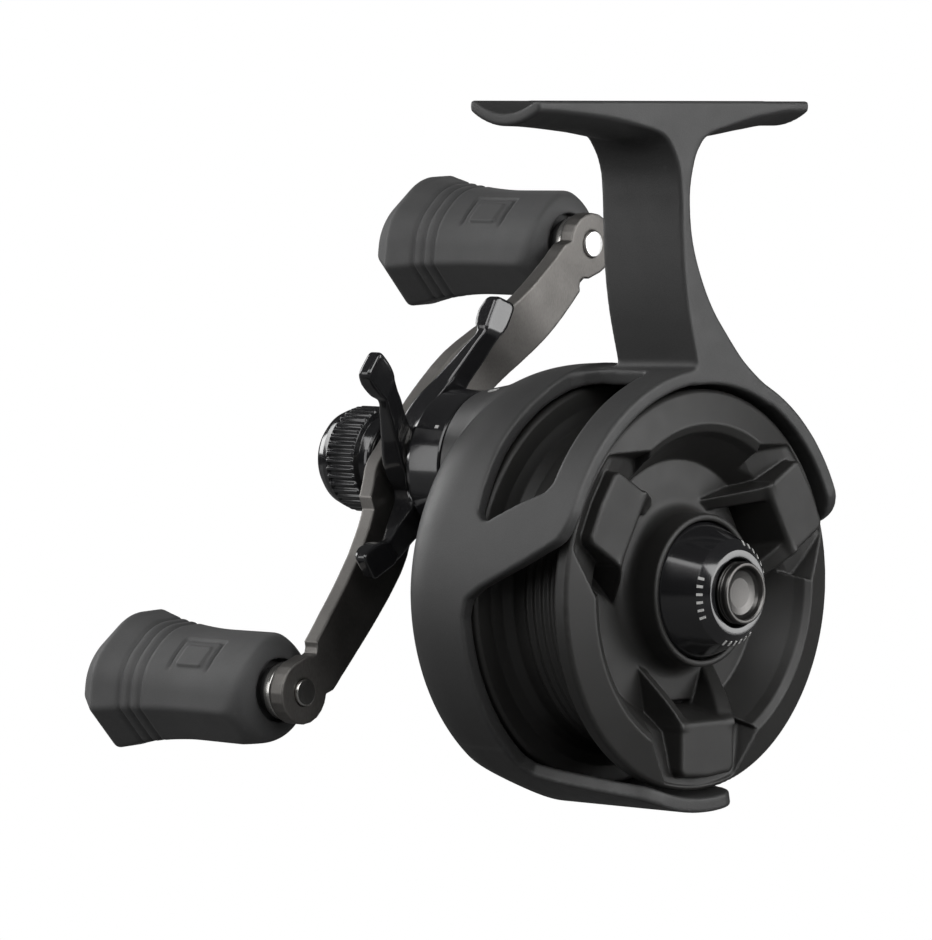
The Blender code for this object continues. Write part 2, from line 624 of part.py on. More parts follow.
def build_handle_nut():
    """Knurled cap nut on the end of the shaft, over a bright washer."""
    keep(ring("handle_washer", 2.5, 5.6, 57.5, 58.1, SHAFT_AXIS, 20, 0.1), STEEL)
    teeth, radius, depth = 20, 8.2, 0.4
    outline = []
    for i in range(teeth):
        mid = 360.0 * i / teeth
        pitch = 360.0 / teeth
        for part, r in ((-0.42, radius - depth), (-0.25, radius), (0.25, radius),
                        (0.42, radius - depth)):
            outline.append(polar(r, mid + part * pitch))
    nut = plate("handle_nut", outline, 60.2, 67.2, SHAFT_AXIS)
    neck = turned("nut_neck", [(0, 61.2), (6.6, 61.2), (6.6, 58.7), (6.3, 58.4), (0, 58.4)],
                  SHAFT_AXIS, 20)
    dome = turned("nut_dome", [(0, 71.0), (2.0, 70.8), (4.6, 70.1), (6.6, 68.8), (7.6, 67.4),
                               (7.6, 66.6), (0, 66.6)], SHAFT_AXIS, 20)
    join(nut, neck, dome)
    cut(nut, rod("nut_bore", 2.5, 57.0, 64.0, SHAFT_AXIS, 16))
    keep(nut, GLOSS_BLACK)


# ---- handle knobs --------------------------------------------------------------------
def grip_profile():
    """Waisted grip with a flared, domed outer end, blind bore from its inner end."""
    end = KNOB_LENGTH
    outer = [(0, end), (5.2, end - 0.2), (8.4, end - 1.4), (9.8, end - 3.4), (10.0, end - 5.2),
             (9.75, end - 6.8), (8.25, 17.9), (8.0, 13.4), (8.35, 8.2), (8.2, 4.8), (7.1, 1.7),
             (5.2, 0.2), (4.2, 0.0), (2.4, 0.0), (2.4, 27.0), (0, 27.0)]
    return [(radius, KNOB_START + d) for radius, d in outer]


def knob_axis(side):
    """Centre of the upper (side 1) or lower (side -1) rivet."""
    return (SHAFT_X + side * CRANK_REACH * math.cos(CRANK_ANGLE),
            SHAFT_Z + side * CRANK_REACH * math.sin(CRANK_ANGLE))


def build_knobs():
    for name, side in (("upper", 1), ("lower", -1)):
        centre = knob_axis(side)
        keep(turned(f"knob_grip_{name}", grip_profile(), centre, 20), RUBBER)
        keep(turned(f"knob_rivet_{name}",
                    [(0, 79.0), (1.6, 79.0), (2.0, 78.6), (2.0, CRANK_END_Y - 0.3),
                     (2.9, CRANK_END_Y - 0.35), (2.9, CRANK_END_Y - 0.9),
                     (2.6, CRANK_END_Y - 1.2), (0, CRANK_END_Y - 1.2)], centre, 14), STEEL)
        keep(ring(f"knob_washer_{name}", 2.4, 4.4, 50.8, 51.4, centre, 16, 0.1), STEEL)
        keep(ring(f"knob_bush_{name}", 2.3, 3.9, 51.7, 52.4, centre, 14, 0.1), NYLON)


# ---- one empty on each joint's axis, carrying the pieces that turn or slide on it --------
CARRIED = {
    "spool_axis": (SPOOL_AXIS, ("spool", "spool_shaft", "pinion_gear", "release_knob")),
    "button_axis": (SPOOL_AXIS, ("release_button", "release_spring")),
    "handle_axis": (SHAFT_AXIS, ("handle_shaft", "drive_gear", "drag_washer_carbon",
                                 "drag_pressure_plate", "clutch_sleeve",
                                 "drag_spring_washer_1", "drag_spring_washer_2", "crank_arm",
                                 "handle_washer", "handle_nut", "knob_rivet_upper",
                                 "knob_rivet_lower", "knob_washer_upper", "knob_washer_lower",
                                 "knob_bush_upper", "knob_bush_lower")),
    "star_axis": (SHAFT_AXIS, ("star_drag_wheel",)),
    "anti_reverse_axis": (SHAFT_AXIS, ("anti_reverse_ring",)),
    "knob_axis_upper": (knob_axis(1), ("knob_grip_upper",)),
    "knob_axis_lower": (knob_axis(-1), ("knob_grip_lower",)),
}


def build_axes():
    for axis_name, (place, names) in CARRIED.items():
        empty = bpy.data.objects.new(axis_name, None)
        empty.location = (place[0] * MM, 0.0, place[1] * MM)
        PARTS.objects.link(empty)
        bpy.context.view_layer.update()
        for name in names:
            piece = PARTS.objects[name]
            piece.parent = empty
            piece.matrix_parent_inverse = empty.matrix_world.inverted()


# ---- assembly ------------------------------------------------------------------------
build_housing()
build_gear_plate()
build_plate_screws()
ball_bearing("spool_bearing_front", 2.8, 5.0, 20.3, 21.8, SPOOL_AXIS)
ball_bearing("spool_bearing_rear", 2.8, 5.0, 27.3, 29.5, SPOOL_AXIS)
ball_bearing("shaft_bearing_inner", 2.8, 5.0, 20.3, 21.8, SHAFT_AXIS)
build_gears()
build_spool_group()
build_handle_shaft_group()
build_star()
build_crank()
build_handle_nut()
build_knobs()

for piece in PARTS.objects:
    if piece.type == "MESH":
        shade(piece)
build_axes()
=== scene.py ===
"""Looks of the inline ice-fishing reel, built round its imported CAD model.

Every visible piece is remade here as a finished surface in the same frame as the CAD model.
Lengths are in millimetres, and become metres when a mesh is made.
Turned pieces are swept profiles. Cast and moulded pieces are distance fields: each is a
function that gives the distance to its surface, negative inside, which is then meshed.
In a field, the last argument of smin, smax and carve is the size of a fillet or a round, and a
factor a little below 1 turns a height over a slanted face into the distance to it.
"""
import json
import math

import bmesh
import bpy
import numpy as np
from mathutils import Matrix, Vector


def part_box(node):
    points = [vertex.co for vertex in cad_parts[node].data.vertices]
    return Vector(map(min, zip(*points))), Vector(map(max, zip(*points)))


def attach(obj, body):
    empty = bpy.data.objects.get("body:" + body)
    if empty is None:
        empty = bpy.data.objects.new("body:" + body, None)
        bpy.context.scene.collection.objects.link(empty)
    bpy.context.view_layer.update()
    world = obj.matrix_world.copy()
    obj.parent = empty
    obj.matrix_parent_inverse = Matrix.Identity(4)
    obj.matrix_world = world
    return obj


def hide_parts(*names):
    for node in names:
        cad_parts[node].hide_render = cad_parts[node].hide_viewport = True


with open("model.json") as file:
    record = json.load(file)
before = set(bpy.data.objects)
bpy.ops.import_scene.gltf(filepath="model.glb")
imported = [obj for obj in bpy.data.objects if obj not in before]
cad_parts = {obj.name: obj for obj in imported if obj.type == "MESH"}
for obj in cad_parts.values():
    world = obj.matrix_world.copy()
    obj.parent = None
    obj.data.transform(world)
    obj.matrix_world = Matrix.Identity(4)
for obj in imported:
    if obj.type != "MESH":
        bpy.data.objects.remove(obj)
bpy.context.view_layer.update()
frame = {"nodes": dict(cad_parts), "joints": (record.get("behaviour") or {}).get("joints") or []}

MM = 0.001



# ---- places, read from the frame ----------------------------------------------------------
def joint_place(name):
    """(x, z) of a joint's axis in millimetres. Every axis here is parallel to Y."""
    joint = next(j for j in frame["joints"] if j["name"] == name)
    return joint["pos_m"][0] / MM, joint["pos_m"][2] / MM


def reach(node, corner, axis):
    """One side of a CAD node's box, in millimetres: corner 0 is low and 1 is high."""
    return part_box(node)[corner][axis] / MM


SPOOL = joint_place("spool_turn")
SHAFT = joint_place("handle_turn")
KNOBS = {"upper": joint_place("upper_knob_spin"), "lower": joint_place("lower_knob_spin")}
REACH = math.hypot(KNOBS["upper"][0] - SHAFT[0], KNOBS["upper"][1] - SHAFT[1])
CRANK_ANGLE = math.atan2(KNOBS["upper"][1] - SHAFT[1], KNOBS["upper"][0] - SHAFT[0])

RING_FRONT = reach("main_housing", 0, 1)
BOSS_END = reach("main_housing", 1, 1)
FOOT_TOP = reach("main_housing", 1, 2)
FOOT_LEFT, FOOT_RIGHT = reach("main_housing", 0, 0) - 1.0, 23.4
FOOT_BACK = 12.2


# ---- distance-field tools -----------------------------------------------------------------
def smin(a, b, k):
    """Union of two fields with a fillet about k / 1.2 in radius."""
    h = np.maximum(k - np.abs(a - b), 0.0) / k
    return np.minimum(a, b) - h * h * (k * 0.25)


def smax(a, b, k):
    """Intersection of two fields with a rounded edge."""
    return -smin(-a, -b, k)


def carve(solid, hollow, k):
    """A solid with a hollow taken out and the hollow's rim rounded."""
    return smax(solid, -hollow, k)


def polygon(u, v, corners):
    """Distance in a plane to a closed polygon."""
    nearest = np.full(u.shape, 1e9, u.dtype)
    inside = np.zeros(u.shape, bool)
    for (ax, ay), (bx, by) in zip(corners, corners[1:] + corners[:1]):
        ex, ey = bx - ax, by - ay
        wx, wy = u - ax, v - ay
        t = np.clip((wx * ex + wy * ey) / (ex * ex + ey * ey), 0.0, 1.0)
        nearest = np.minimum(nearest, (wx - ex * t) ** 2 + (wy - ey * t) ** 2)
        crosses = (ay > v) != (by > v)
        inside ^= crosses & ((ex * wy - ey * wx > 0) == (by > ay))
    return np.where(inside, -1.0, 1.0) * np.sqrt(nearest)


def inset(corners, amount, sharpest=0.35):
    """A polygon's corners moved inwards, whichever way round it runs.

    Sharpest is the least cosine a corner is given, so that a sharp one doesn't move too far.
    """
    result = []
    count = len(corners)
    area = sum(corners[i - 1][0] * corners[i][1] - corners[i][0] * corners[i - 1][1]
               for i in range(count))
    amount = math.copysign(amount, area)
    for i in range(count):
        here = Vector(corners[i])
        into = (here - Vector(corners[i - 1])).normalized()
        out = (Vector(corners[(i + 1) % count]) - here).normalized()
        normal = Vector((-into.y - out.y, into.x + out.x)).normalized()
        cosine = max(normal.dot(Vector((-into.y, into.x))), sharpest)
        moved = here + normal * (amount / cosine)
        result.append((moved.x, moved.y))
    return result


def curve(points, parts=12):
    """A smooth function through (input, output) points, level where its direction changes."""
    xs = np.array([p[0] for p in points], float)
    ys = np.array([p[1] for p in points], float)
    step = np.diff(xs)
    rise = np.diff(ys) / step
    slope = np.concatenate(([rise[0]], (rise[:-1] + rise[1:]) / 2, [rise[-1]]))
    turning = np.concatenate(([False], rise[:-1] * rise[1:] <= 0, [False]))
    slope[turning] = 0.0
    dense_x, dense_y = [], []
    t = np.linspace(0, 1, parts + 1)[:-1]
    for i in range(len(step)):
        dense_x.append(xs[i] + t * step[i])
        dense_y.append((2 * t ** 3 - 3 * t ** 2 + 1) * ys[i]
                       + (t ** 3 - 2 * t ** 2 + t) * step[i] * slope[i]
                       + (3 * t ** 2 - 2 * t ** 3) * ys[i + 1]
                       + (t ** 3 - t ** 2) * step[i] * slope[i + 1])
    dense_x = np.concatenate(dense_x + [xs[-1:]])
    dense_y = np.concatenate(dense_y + [ys[-1:]])
    return lambda value: np.interp(value, dense_x, dense_y).astype(np.float32)


def mesh_object(name, points, faces):
    """A smooth mesh object from arrays: points in millimetres, faces as rows of indices."""
    mesh = bpy.data.meshes.new(name)
    mesh.vertices.add(len(points))
    mesh.vertices.foreach_set("co", (np.asarray(points) * MM).astype(np.float32).ravel())
    mesh.loops.add(faces.size)
    mesh.loops.foreach_set("vertex_index", faces.astype(np.int32).ravel())
    mesh.polygons.add(len(faces))
    mesh.polygons.foreach_set("loop_start", np.arange(0, faces.size, faces.shape[1], dtype=np.int32))
    mesh.update(calc_edges=True)
    mesh.validate()
    mesh.shade_smooth()
    obj = bpy.data.objects.new(name, mesh)
    bpy.context.scene.collection.objects.link(obj)
    return obj


def outward(obj, merge=0.0):
    """Turns a closed mesh's faces outwards, after joining points closer than merge in metres."""
    work = bmesh.new()
    work.from_mesh(obj.data)
    if merge:
        bmesh.ops.remove_doubles(work, verts=work.verts, dist=merge)
    bmesh.ops.recalc_face_normals(work, faces=work.faces)
    work.to_mesh(obj.data)
    work.free()


BLOCK = 4               # the field is first sampled once for each block of this many cells a side
BLOCK_REACH = 1.35      # a block is meshed if the surface is within this many of its sides
LEAST_SLOPE = 0.15      # the least squared slope that a polishing step divides by
LONGEST_STEP = 0.4      # the furthest a polishing step moves a vertex, in cells


def skin(name, field, low, high, cell, polish=2):
    """Meshes the surface where a field is zero, inside a box.

    A surface net: each grid cell that the surface crosses gets one vertex, and each grid edge
    that it crosses gets one face. Then the vertices move along the field's slope onto it.
    """
    cell = cell * 1.0
    block = BLOCK
    low = np.array(low, float) - 1.5 * cell
    blocks = np.ceil((np.array(high) + 1.5 * cell - low) / (cell * block)).astype(int)
    centres = np.stack(np.meshgrid(*[low[a] + (np.arange(blocks[a]) + 0.5) * block * cell
                                     for a in range(3)], indexing="ij"), -1).astype(np.float32)
    rough = field(centres[..., 0], centres[..., 1], centres[..., 2])
    near = np.abs(rough) < block * cell * BLOCK_REACH
    wide_near = near.repeat(block, 0).repeat(block, 1).repeat(block, 2)
    shape = np.array(wide_near.shape) + 1
    sampled = np.zeros(shape, bool)
    values = np.ones(shape, np.float32)
    wide_rough = rough.repeat(block, 0).repeat(block, 1).repeat(block, 2)
    for da in (1, 0):
        for db in (1, 0):
            for dc in (1, 0):
                window = (slice(da, shape[0] - 1 + da), slice(db, shape[1] - 1 + db),
                          slice(dc, shape[2] - 1 + dc))
                sampled[window] |= wide_near
                values[window] = wide_rough
    index = np.argwhere(sampled)
    place = (low + index * cell).astype(np.float32)
    values[sampled] = field(place[:, 0], place[:, 1], place[:, 2])
    solid = values < 0

    corners = [(a, b, c) for a in (0, 1) for b in (0, 1) for c in (0, 1)]
    size = shape - 1
    count = np.zeros(size, np.uint8)
    for a, b, c in corners:
        count += solid[a:a + size[0], b:b + size[1], c:c + size[2]]
    cells = np.argwhere((count > 0) & (count < 8))
    value = {k: values[cells[:, 0] + k[0], cells[:, 1] + k[1], cells[:, 2] + k[2]] for k in corners}
    total = np.zeros((len(cells), 3))
    hits = np.zeros(len(cells))
    for start in corners:
        for axis in range(3):
            if start[axis]:
                continue
            end = tuple(1 if i == axis else start[i] for i in range(3))
            v0, v1 = value[start], value[end]
            crossed = (v0 < 0) != (v1 < 0)
            t = np.where(crossed, v0 / np.where(crossed, v0 - v1, 1.0), 0.0)
            point = np.tile(np.array(start, float), (len(cells), 1))
            point[:, axis] += t
            total += point * crossed[:, None]
            hits += crossed
    points = low + (cells + total / hits[:, None]) * cell

    number = np.full(size, -1, np.int32)
    number[tuple(cells.T)] = np.arange(len(cells))
    faces = []
    for axis in range(3):
        b, c = (axis + 1) % 3, (axis + 2) % 3
        inner = [slice(1, n - 1) for n in shape]
        inner[axis] = slice(0, shape[axis] - 1)
        ahead = list(inner)
        ahead[axis] = slice(1, shape[axis])
        change = solid[tuple(inner)] != solid[tuple(ahead)]
        rising = solid[tuple(inner)][change]
        edge = np.argwhere(change)
        offset = np.ones(3, int)
        offset[axis] = 0
        edge = edge + offset
        around = []
        for db, dc in ((-1, -1), (0, -1), (0, 0), (-1, 0)):
            at = edge.copy()
            at[:, b] += db
            at[:, c] += dc
            around.append(number[tuple(at.T)])
        quad = np.stack(around, 1)
        quad[~rising] = quad[~rising][:, ::-1]
        faces.append(quad)
    faces = np.concatenate(faces)

    tiny = 0.02         # millimetres between the two samples that a slope is taken from
    for _ in range(polish):
        p = points.astype(np.float32)
        here = field(p[:, 0], p[:, 1], p[:, 2])
        slope = np.stack([(field(*(p + tiny * step).T) - here) / tiny
                          for step in np.eye(3, dtype=np.float32)], 1)
        length = np.maximum((slope ** 2).sum(1), LEAST_SLOPE)
        move = -(here / length)[:, None] * slope
        far = np.linalg.norm(move, axis=1, keepdims=True)
        points = points + move * np.minimum(1.0, LONGEST_STEP * cell / np.maximum(far, 1e-9))
    return mesh_object(name, points, faces)


# ---- turned-piece tools -------------------------------------------------------------------
STRAIGHT = math.radians(172)            # a flatter corner than this needs no fillet
FILLET_SHARE = 0.45                     # the most of a side that one fillet may take up
WELD = 0.000001                         # metres


def fillet(profile, radius, closed, parts=4):
    """A profile with each corner turned into an arc, where the neighbours leave room for it."""
    result = []
    count = len(profile)
    for i, here in enumerate(profile):
        if not closed and i in (0, count - 1):
            result.append(tuple(here))
            continue
        here = Vector(here)
        before, after = Vector(profile[i - 1]) - here, Vector(profile[(i + 1) % count]) - here
        angle = before.angle(after)
        if angle > STRAIGHT:
            result.append(tuple(here))
            continue
        back = min(radius / math.tan(angle / 2), FILLET_SHARE * before.length,
                   FILLET_SHARE * after.length)
        start, end = here + before.normalized() * back, here + after.normalized() * back
        for k in range(parts + 1):
            t = k / parts
            mid = start.lerp(here, t).lerp(here.lerp(end, t), t)
            result.append((mid.x, mid.y))
    return result


def turned(name, profile, axis, steps=128, closed=False, radius=0.15, ripple=None):
    """Sweeps a profile of (radius, y) points round an axis parallel to Y.

    An open profile begins and ends on the axis. Ripple changes a point's radius with its angle.
    """
    steps = steps
    line = np.array(fillet(profile, radius, closed))
    area = np.sum(line[:, 0] * np.roll(line[:, 1], -1) - np.roll(line[:, 0], -1) * line[:, 1])
    if area < 0:
        line = line[::-1]
    angle = np.arange(steps) * 2 * math.pi / steps
    r = np.repeat(line[:, 0][:, None], steps, 1)
    y = np.repeat(line[:, 1][:, None], steps, 1)
    if ripple:
        r = ripple(r, y, angle[None, :])
    x = axis[0] + r * np.cos(angle)
    z = axis[1] + r * np.sin(angle)
    points = np.stack([x, y, z], -1).reshape(-1, 3)
    rows = len(line)
    last = rows if closed else rows - 1
    row, col = np.meshgrid(np.arange(last), np.arange(steps), indexing="ij")
    below, beside = (row + 1) % rows, (col + 1) % steps
    faces = np.stack([row * steps + col, below * steps + col,
                      below * steps + beside, row * steps + beside], -1).reshape(-1, 4)
    obj = mesh_object(name, points, faces)
    outward(obj, WELD)
    return obj


# ---- housing ------------------------------------------------------------------------------
HOUSING_R, BOWL_BACK = 33.2, 32.1
BACK_ROUND, BACK_ROUND_UP = 8.541, 0.585        # round between wall and back: below, and more on top
BACK_SLOPE_UP = 0.257                           # how much shallower that round runs on top
ARC = math.radians(HOUSING_R)                   # millimetres round the wall for one degree
WALL_INSIDE = 25.0                              # the windows cut only what is further out than this
CHAMBER_R, CHAMBER_BACK = 30.9, 22.6            # where the spool turns
ROOM_R, ROOM_FRONT, ROOM_BACK, ROOM_ROUND = 31.4, 22.2, 30.0, 7.6       # where the gears are
BOSS_R, BOSS_FLARE, BOSS_FRONT = 11.6, 0.185, 18.0
BOSS_BORE, BOSS_BORE_FRONT = 7.0, 29.0
STUB_R, STUB_FRONT, STUB_BACK = 6.6, 27.0, 31.0         # holds the spool shaft's rear bearing
REAR_BORE, REAR_BORE_BACK = 5.3, 29.9
POST_CIRCLE, POST_ANGLES = 26.4, (20, 160, 238, 302)    # the gear plate's four screw posts
POST_R, POST_BORE, POST_FRONT, POST_BACK, POST_BORE_BACK = 2.6, 1.3, 22.3, 30.5, 29.0
FACET = (-0.334, 0.289, -0.898)                 # flat on the bowl's lower left: its outward normal
FACET_REACH, FACET_ROUND = 38.5, 0.9
LIP, RING_CORNER = 0.5, 3.0
# Windows in the wall as (degrees round it, y), and how far their corners are rounded.
UPPER_WINDOW = [(99.7, 5.9), (100.6, 14.6), (103.0, 16.6), (107.0, 17.4), (118.0, 17.8),
                (139.0, 17.8), (158.0, 17.0), (160.8, 15.1), (155.0, 9.2), (151.6, 5.0),
                (149.0, 4.1), (112.8, 4.2), (104.0, 4.4)]
LINE_WINDOW = [(159.0, -9.0), (160.0, -2.6), (164.0, -0.3), (171.0, 6.7), (177.7, 14.3),
               (181.0, 17.0), (186.0, 17.8), (232.5, 17.8), (236.5, 17.0), (239.0, 14.0),
               (246.5, 0.0), (248.0, -1.8), (249.5, -9.0)]
PALM_WINDOW = [(280.0, -9.0), (282.0, -1.8), (285.5, 6.0), (291.0, 16.5), (295.0, 17.8),
               (362.0, 17.8), (367.0, 16.2), (376.0, 2.0), (380.0, -1.8), (383.0, -9.0)]
UPPER_CORNER, OPEN_CORNER = 1.6, 1.2
# The stem's left and right edges at its front, as (z, left x, right x).
STEM = [(29.0, -1.4, 13.5), (31.6, -2.0, 11.2), (34.5, -2.7, 7.8), (38.0, -3.7, 4.5),
        (41.5, -4.6, 1.5), (46.0, -5.4, -1.2), (52.0, -5.95, -3.5), (58.5, -6.2, -4.2),
        (62.8, -6.8, -3.5), (65.9, -8.4, -2.1), (68.0, -10.6, 0.3), (69.35, -14.0, 4.4),
        (71.5, -19.0, 9.0)]
STEM_LEFT = curve([(z, left) for z, left, _ in STEM])
STEM_RIGHT = curve([(z, right) for z, _, right in STEM])
STEM_WIDENS_LEFT, STEM_WIDENS_RIGHT = 0.18, 0.21        # for each millimetre towards +Y
STEM_BOTTOM, STEM_TOP, STEM_FOOT_R = 20.0, 71.0, 31.3
STEM_STEEPNESS = (45.0, 60.0, 68.0), (1.2, 1.1, 2.0)    # slope of the stem's field at these heights
# Thickness of the foot's edge along X, and how far its middle hangs below its edges.
FOOT_EDGE = curve([(-37.5, 1.4), (-34.0, 1.5), (-24.0, 2.3), (-13.5, 3.4), (4.0, 3.2), (13.0, 2.1),
                   (20.0, 1.4), (23.5, 1.4)])
FOOT_BULGE, FOOT_HOLLOW, FOOT_RAIL, FOOT_END_BOW = 2.3, 1.8, 1.0, 0.2
FOOT_ROUND, STEM_FILLET, FOOT_BACK_ROUND = 0.5, 2.4, 0.6


def window(degrees, y, outline, corner):
    """A window in the wall, as a distance over the unrolled wall, with rounded corners."""
    flat = [(a * ARC, b) for a, b in outline]
    return polygon(degrees * ARC, y, inset(flat, corner)) - corner


def neck_and_foot(x, y, z):
    """The stem and the saddle on top of it, endless towards -Y."""
    deep = y - RING_FRONT
    stem = smax(STEM_LEFT(z) - STEM_WIDENS_LEFT * deep - x,
                x - STEM_RIGHT(z) - STEM_WIDENS_RIGHT * deep, 0.5) / np.interp(z, *STEM_STEEPNESS)
    stem = np.maximum(np.maximum(stem, STEM_FOOT_R - np.hypot(x, z)),
                      np.maximum(STEM_BOTTOM - z, z - STEM_TOP))
    middle = (RING_FRONT + FOOT_BACK) / 2
    half = (FOOT_BACK - RING_FRONT) / 2
    t = np.clip((y - middle) / half, -1.0, 1.0)
    hollow = FOOT_HOLLOW * np.maximum(1.0 - (t * half / (half - FOOT_RAIL)) ** 2, 0.0)
    under = FOOT_TOP - FOOT_EDGE(x) - FOOT_BULGE * (1.0 - t * t)
    ends = np.maximum(FOOT_LEFT - x, x - FOOT_RIGHT) + FOOT_END_BOW * t ** 4
    saddle = smax(smax(z - (FOOT_TOP - hollow), under - z, FOOT_ROUND), ends, FOOT_ROUND)
    return smax(smin(saddle, stem, STEM_FILLET), y - FOOT_BACK, FOOT_BACK_ROUND)


def screw_post(x, y, z, degrees):
    """One post for a screw of the gear plate, with a blind hole from the front."""
    r = np.hypot(x - POST_CIRCLE * math.cos(math.radians(degrees)),
                 z - POST_CIRCLE * math.sin(math.radians(degrees)))
    hole = POST_BORE - r + (y > POST_BORE_BACK) * 9
    return np.maximum(np.maximum(r - POST_R, POST_FRONT - y), np.maximum(y - POST_BACK, hole))


def housing_field(x, y, z):
    """Bowl, boss, stem and foot as one casting, with its rooms and windows."""
    r = np.hypot(x, z)
    degrees = np.degrees(np.arctan2(z, x)) % 360
    up = np.clip(z / np.maximum(r, 0.001), 0.0, 1.0)
    bowl = smax(r - HOUSING_R, (1.0 - BACK_SLOPE_UP * up) * (y - BOWL_BACK),
                BACK_ROUND + BACK_ROUND_UP * up)
    bowl = smax(bowl, FACET[0] * x + FACET[1] * y + FACET[2] * z - FACET_REACH, FACET_ROUND)
    rs = np.hypot(x - SHAFT[0], z - SHAFT[1])
    boss = smax(rs - BOSS_R - BOSS_FLARE * (BOSS_END - y), y - BOSS_END, 0.6)
    solid = smin(bowl, np.maximum(boss, BOSS_FRONT - y), 2.2)
    room = np.maximum(smax(r - ROOM_R, y - ROOM_BACK, ROOM_ROUND), ROOM_FRONT - y)
    solid = carve(solid, np.minimum(np.maximum(r - CHAMBER_R, y - CHAMBER_BACK), room), 0.5)
    solid = carve(solid, np.maximum(window(degrees, y, UPPER_WINDOW, UPPER_CORNER), WALL_INSIDE - r),
                  LIP)
    inner = np.maximum(np.maximum(r - STUB_R, STUB_FRONT - y), y - STUB_BACK)
    for angle in POST_ANGLES:
        inner = np.minimum(inner, screw_post(x, y, z, angle))
    solid = np.minimum(solid, inner)
    solid = np.maximum(solid, -np.maximum(r - REAR_BORE, y - REAR_BORE_BACK))
    solid = smax(solid, -np.maximum(rs - BOSS_BORE, BOSS_BORE_FRONT - y), 0.4)
    solid = smin(solid, neck_and_foot(x, y, z), 1.4)
    beyond = np.where(degrees < 100, degrees + 360, degrees)
    opened = np.minimum(window(degrees, y, LINE_WINDOW, OPEN_CORNER),
                        window(beyond, y, PALM_WINDOW, OPEN_CORNER))
    opened = np.maximum(opened, WALL_INSIDE - r)
    return smax(solid, smax(RING_FRONT - y, -opened, RING_CORNER), LIP)


# ---- spool --------------------------------------------------------------------------------
# Section of the turned body as (radius, y).
SPOOL_SECTION = [(29.6, 0.0), (24.9, -1.3), (23.7, -0.75), (22.9, 0.6), (19.4, 5.2), (16.0, 5.0),
                 (11.5, 4.8), (11.5, 8.4), (6.2, 8.4), (6.2, 12.0), (2.8, 12.0), (2.8, 19.0),
                 (6.4, 19.0), (6.4, 10.6), (22.9, 9.6), (22.9, 18.6), (29.9, 19.2), (30.4, 18.8),
                 (30.4, 17.9), (30.0, 17.5), (27.4, 17.2), (25.6, 16.4), (24.7, 15.2), (24.7, 4.0),
                 (25.6, 3.2), (29.2, 2.7), (29.8, 2.5), (30.0, 2.2), (30.0, 0.4)]
LUG_FIRST, LUG_PITCH = 270.0, 120.0             # degrees
# Each lug, its two legs, its seat and its pocket, as (p, q): across the lug, and outwards along it.
LUG_BLOCK = [(-6.07, 14.0), (6.07, 14.0), (6.07, 27.5), (0.0, 27.95), (-6.07, 27.5)]
LUG_LEG = [(3.6, 20.4), (3.9, 18.6), (6.7, 10.6), (8.8, 10.3), (6.07, 19.7), (6.07, 20.4)]
SEAT_EDGE = (11.9, 21.4), (0.875, 0.486)        # a point on the seat's top edge, and its normal
SEAT_FACE, SEAT_BEVEL, SEAT_GRADE = -0.5, 2.4, 0.385
SEAT_FLOOR = (18.0, 20.5, 24.0, 27.0, 29.0), (3.4, 2.1, 1.1, 0.4, 0.2)      # y of the floor along q
SEAT_INNER = 12.15, 0.777, 0.79                 # the slanted line where a seat ends at the hub
SEAT_OUTER = 29.3
LUG_POCKET, POCKET_FLOOR = [(-4.2, 16.9), (4.2, 16.9), (3.5, 19.8), (-3.5, 19.8)], 6.8
LUG_FRONT, LUG_BACK, LUG_BACK_SLOPE = -1.85, 19.3, 0.2
LUG_DEPTH = (20.0, 24.0), (8.0, 2.4)            # y of the block's root along q
LEG_TOP = curve([(9.0, 7.2), (11.0, 5.0), (14.0, 2.2), (17.0, -0.3), (19.2, -1.65),
                 (20.0, LUG_FRONT)])
LEG_START, LEG_OUTSIDE, LEG_TAPER = 10.3, 8.8, 0.29     # q and p of its outer edge, and its slant
LEG_LEAN, LEG_ROOT = 0.36, 8.0
SLEEVE_FRONT, SLEEVE_BACK, SLEEVE_R, SLEEVE_BORE = -1.1, 8.4, 11.45, 10.45  # round the release cone
RIB_FIRST, RIB_PITCH, RIB_HEIGHT = 4.2, 1.6, 0.28       # rings round the arbor
RIBS_START, RIBS_END, RIBS_R = 3.4, 12.6, 23.6


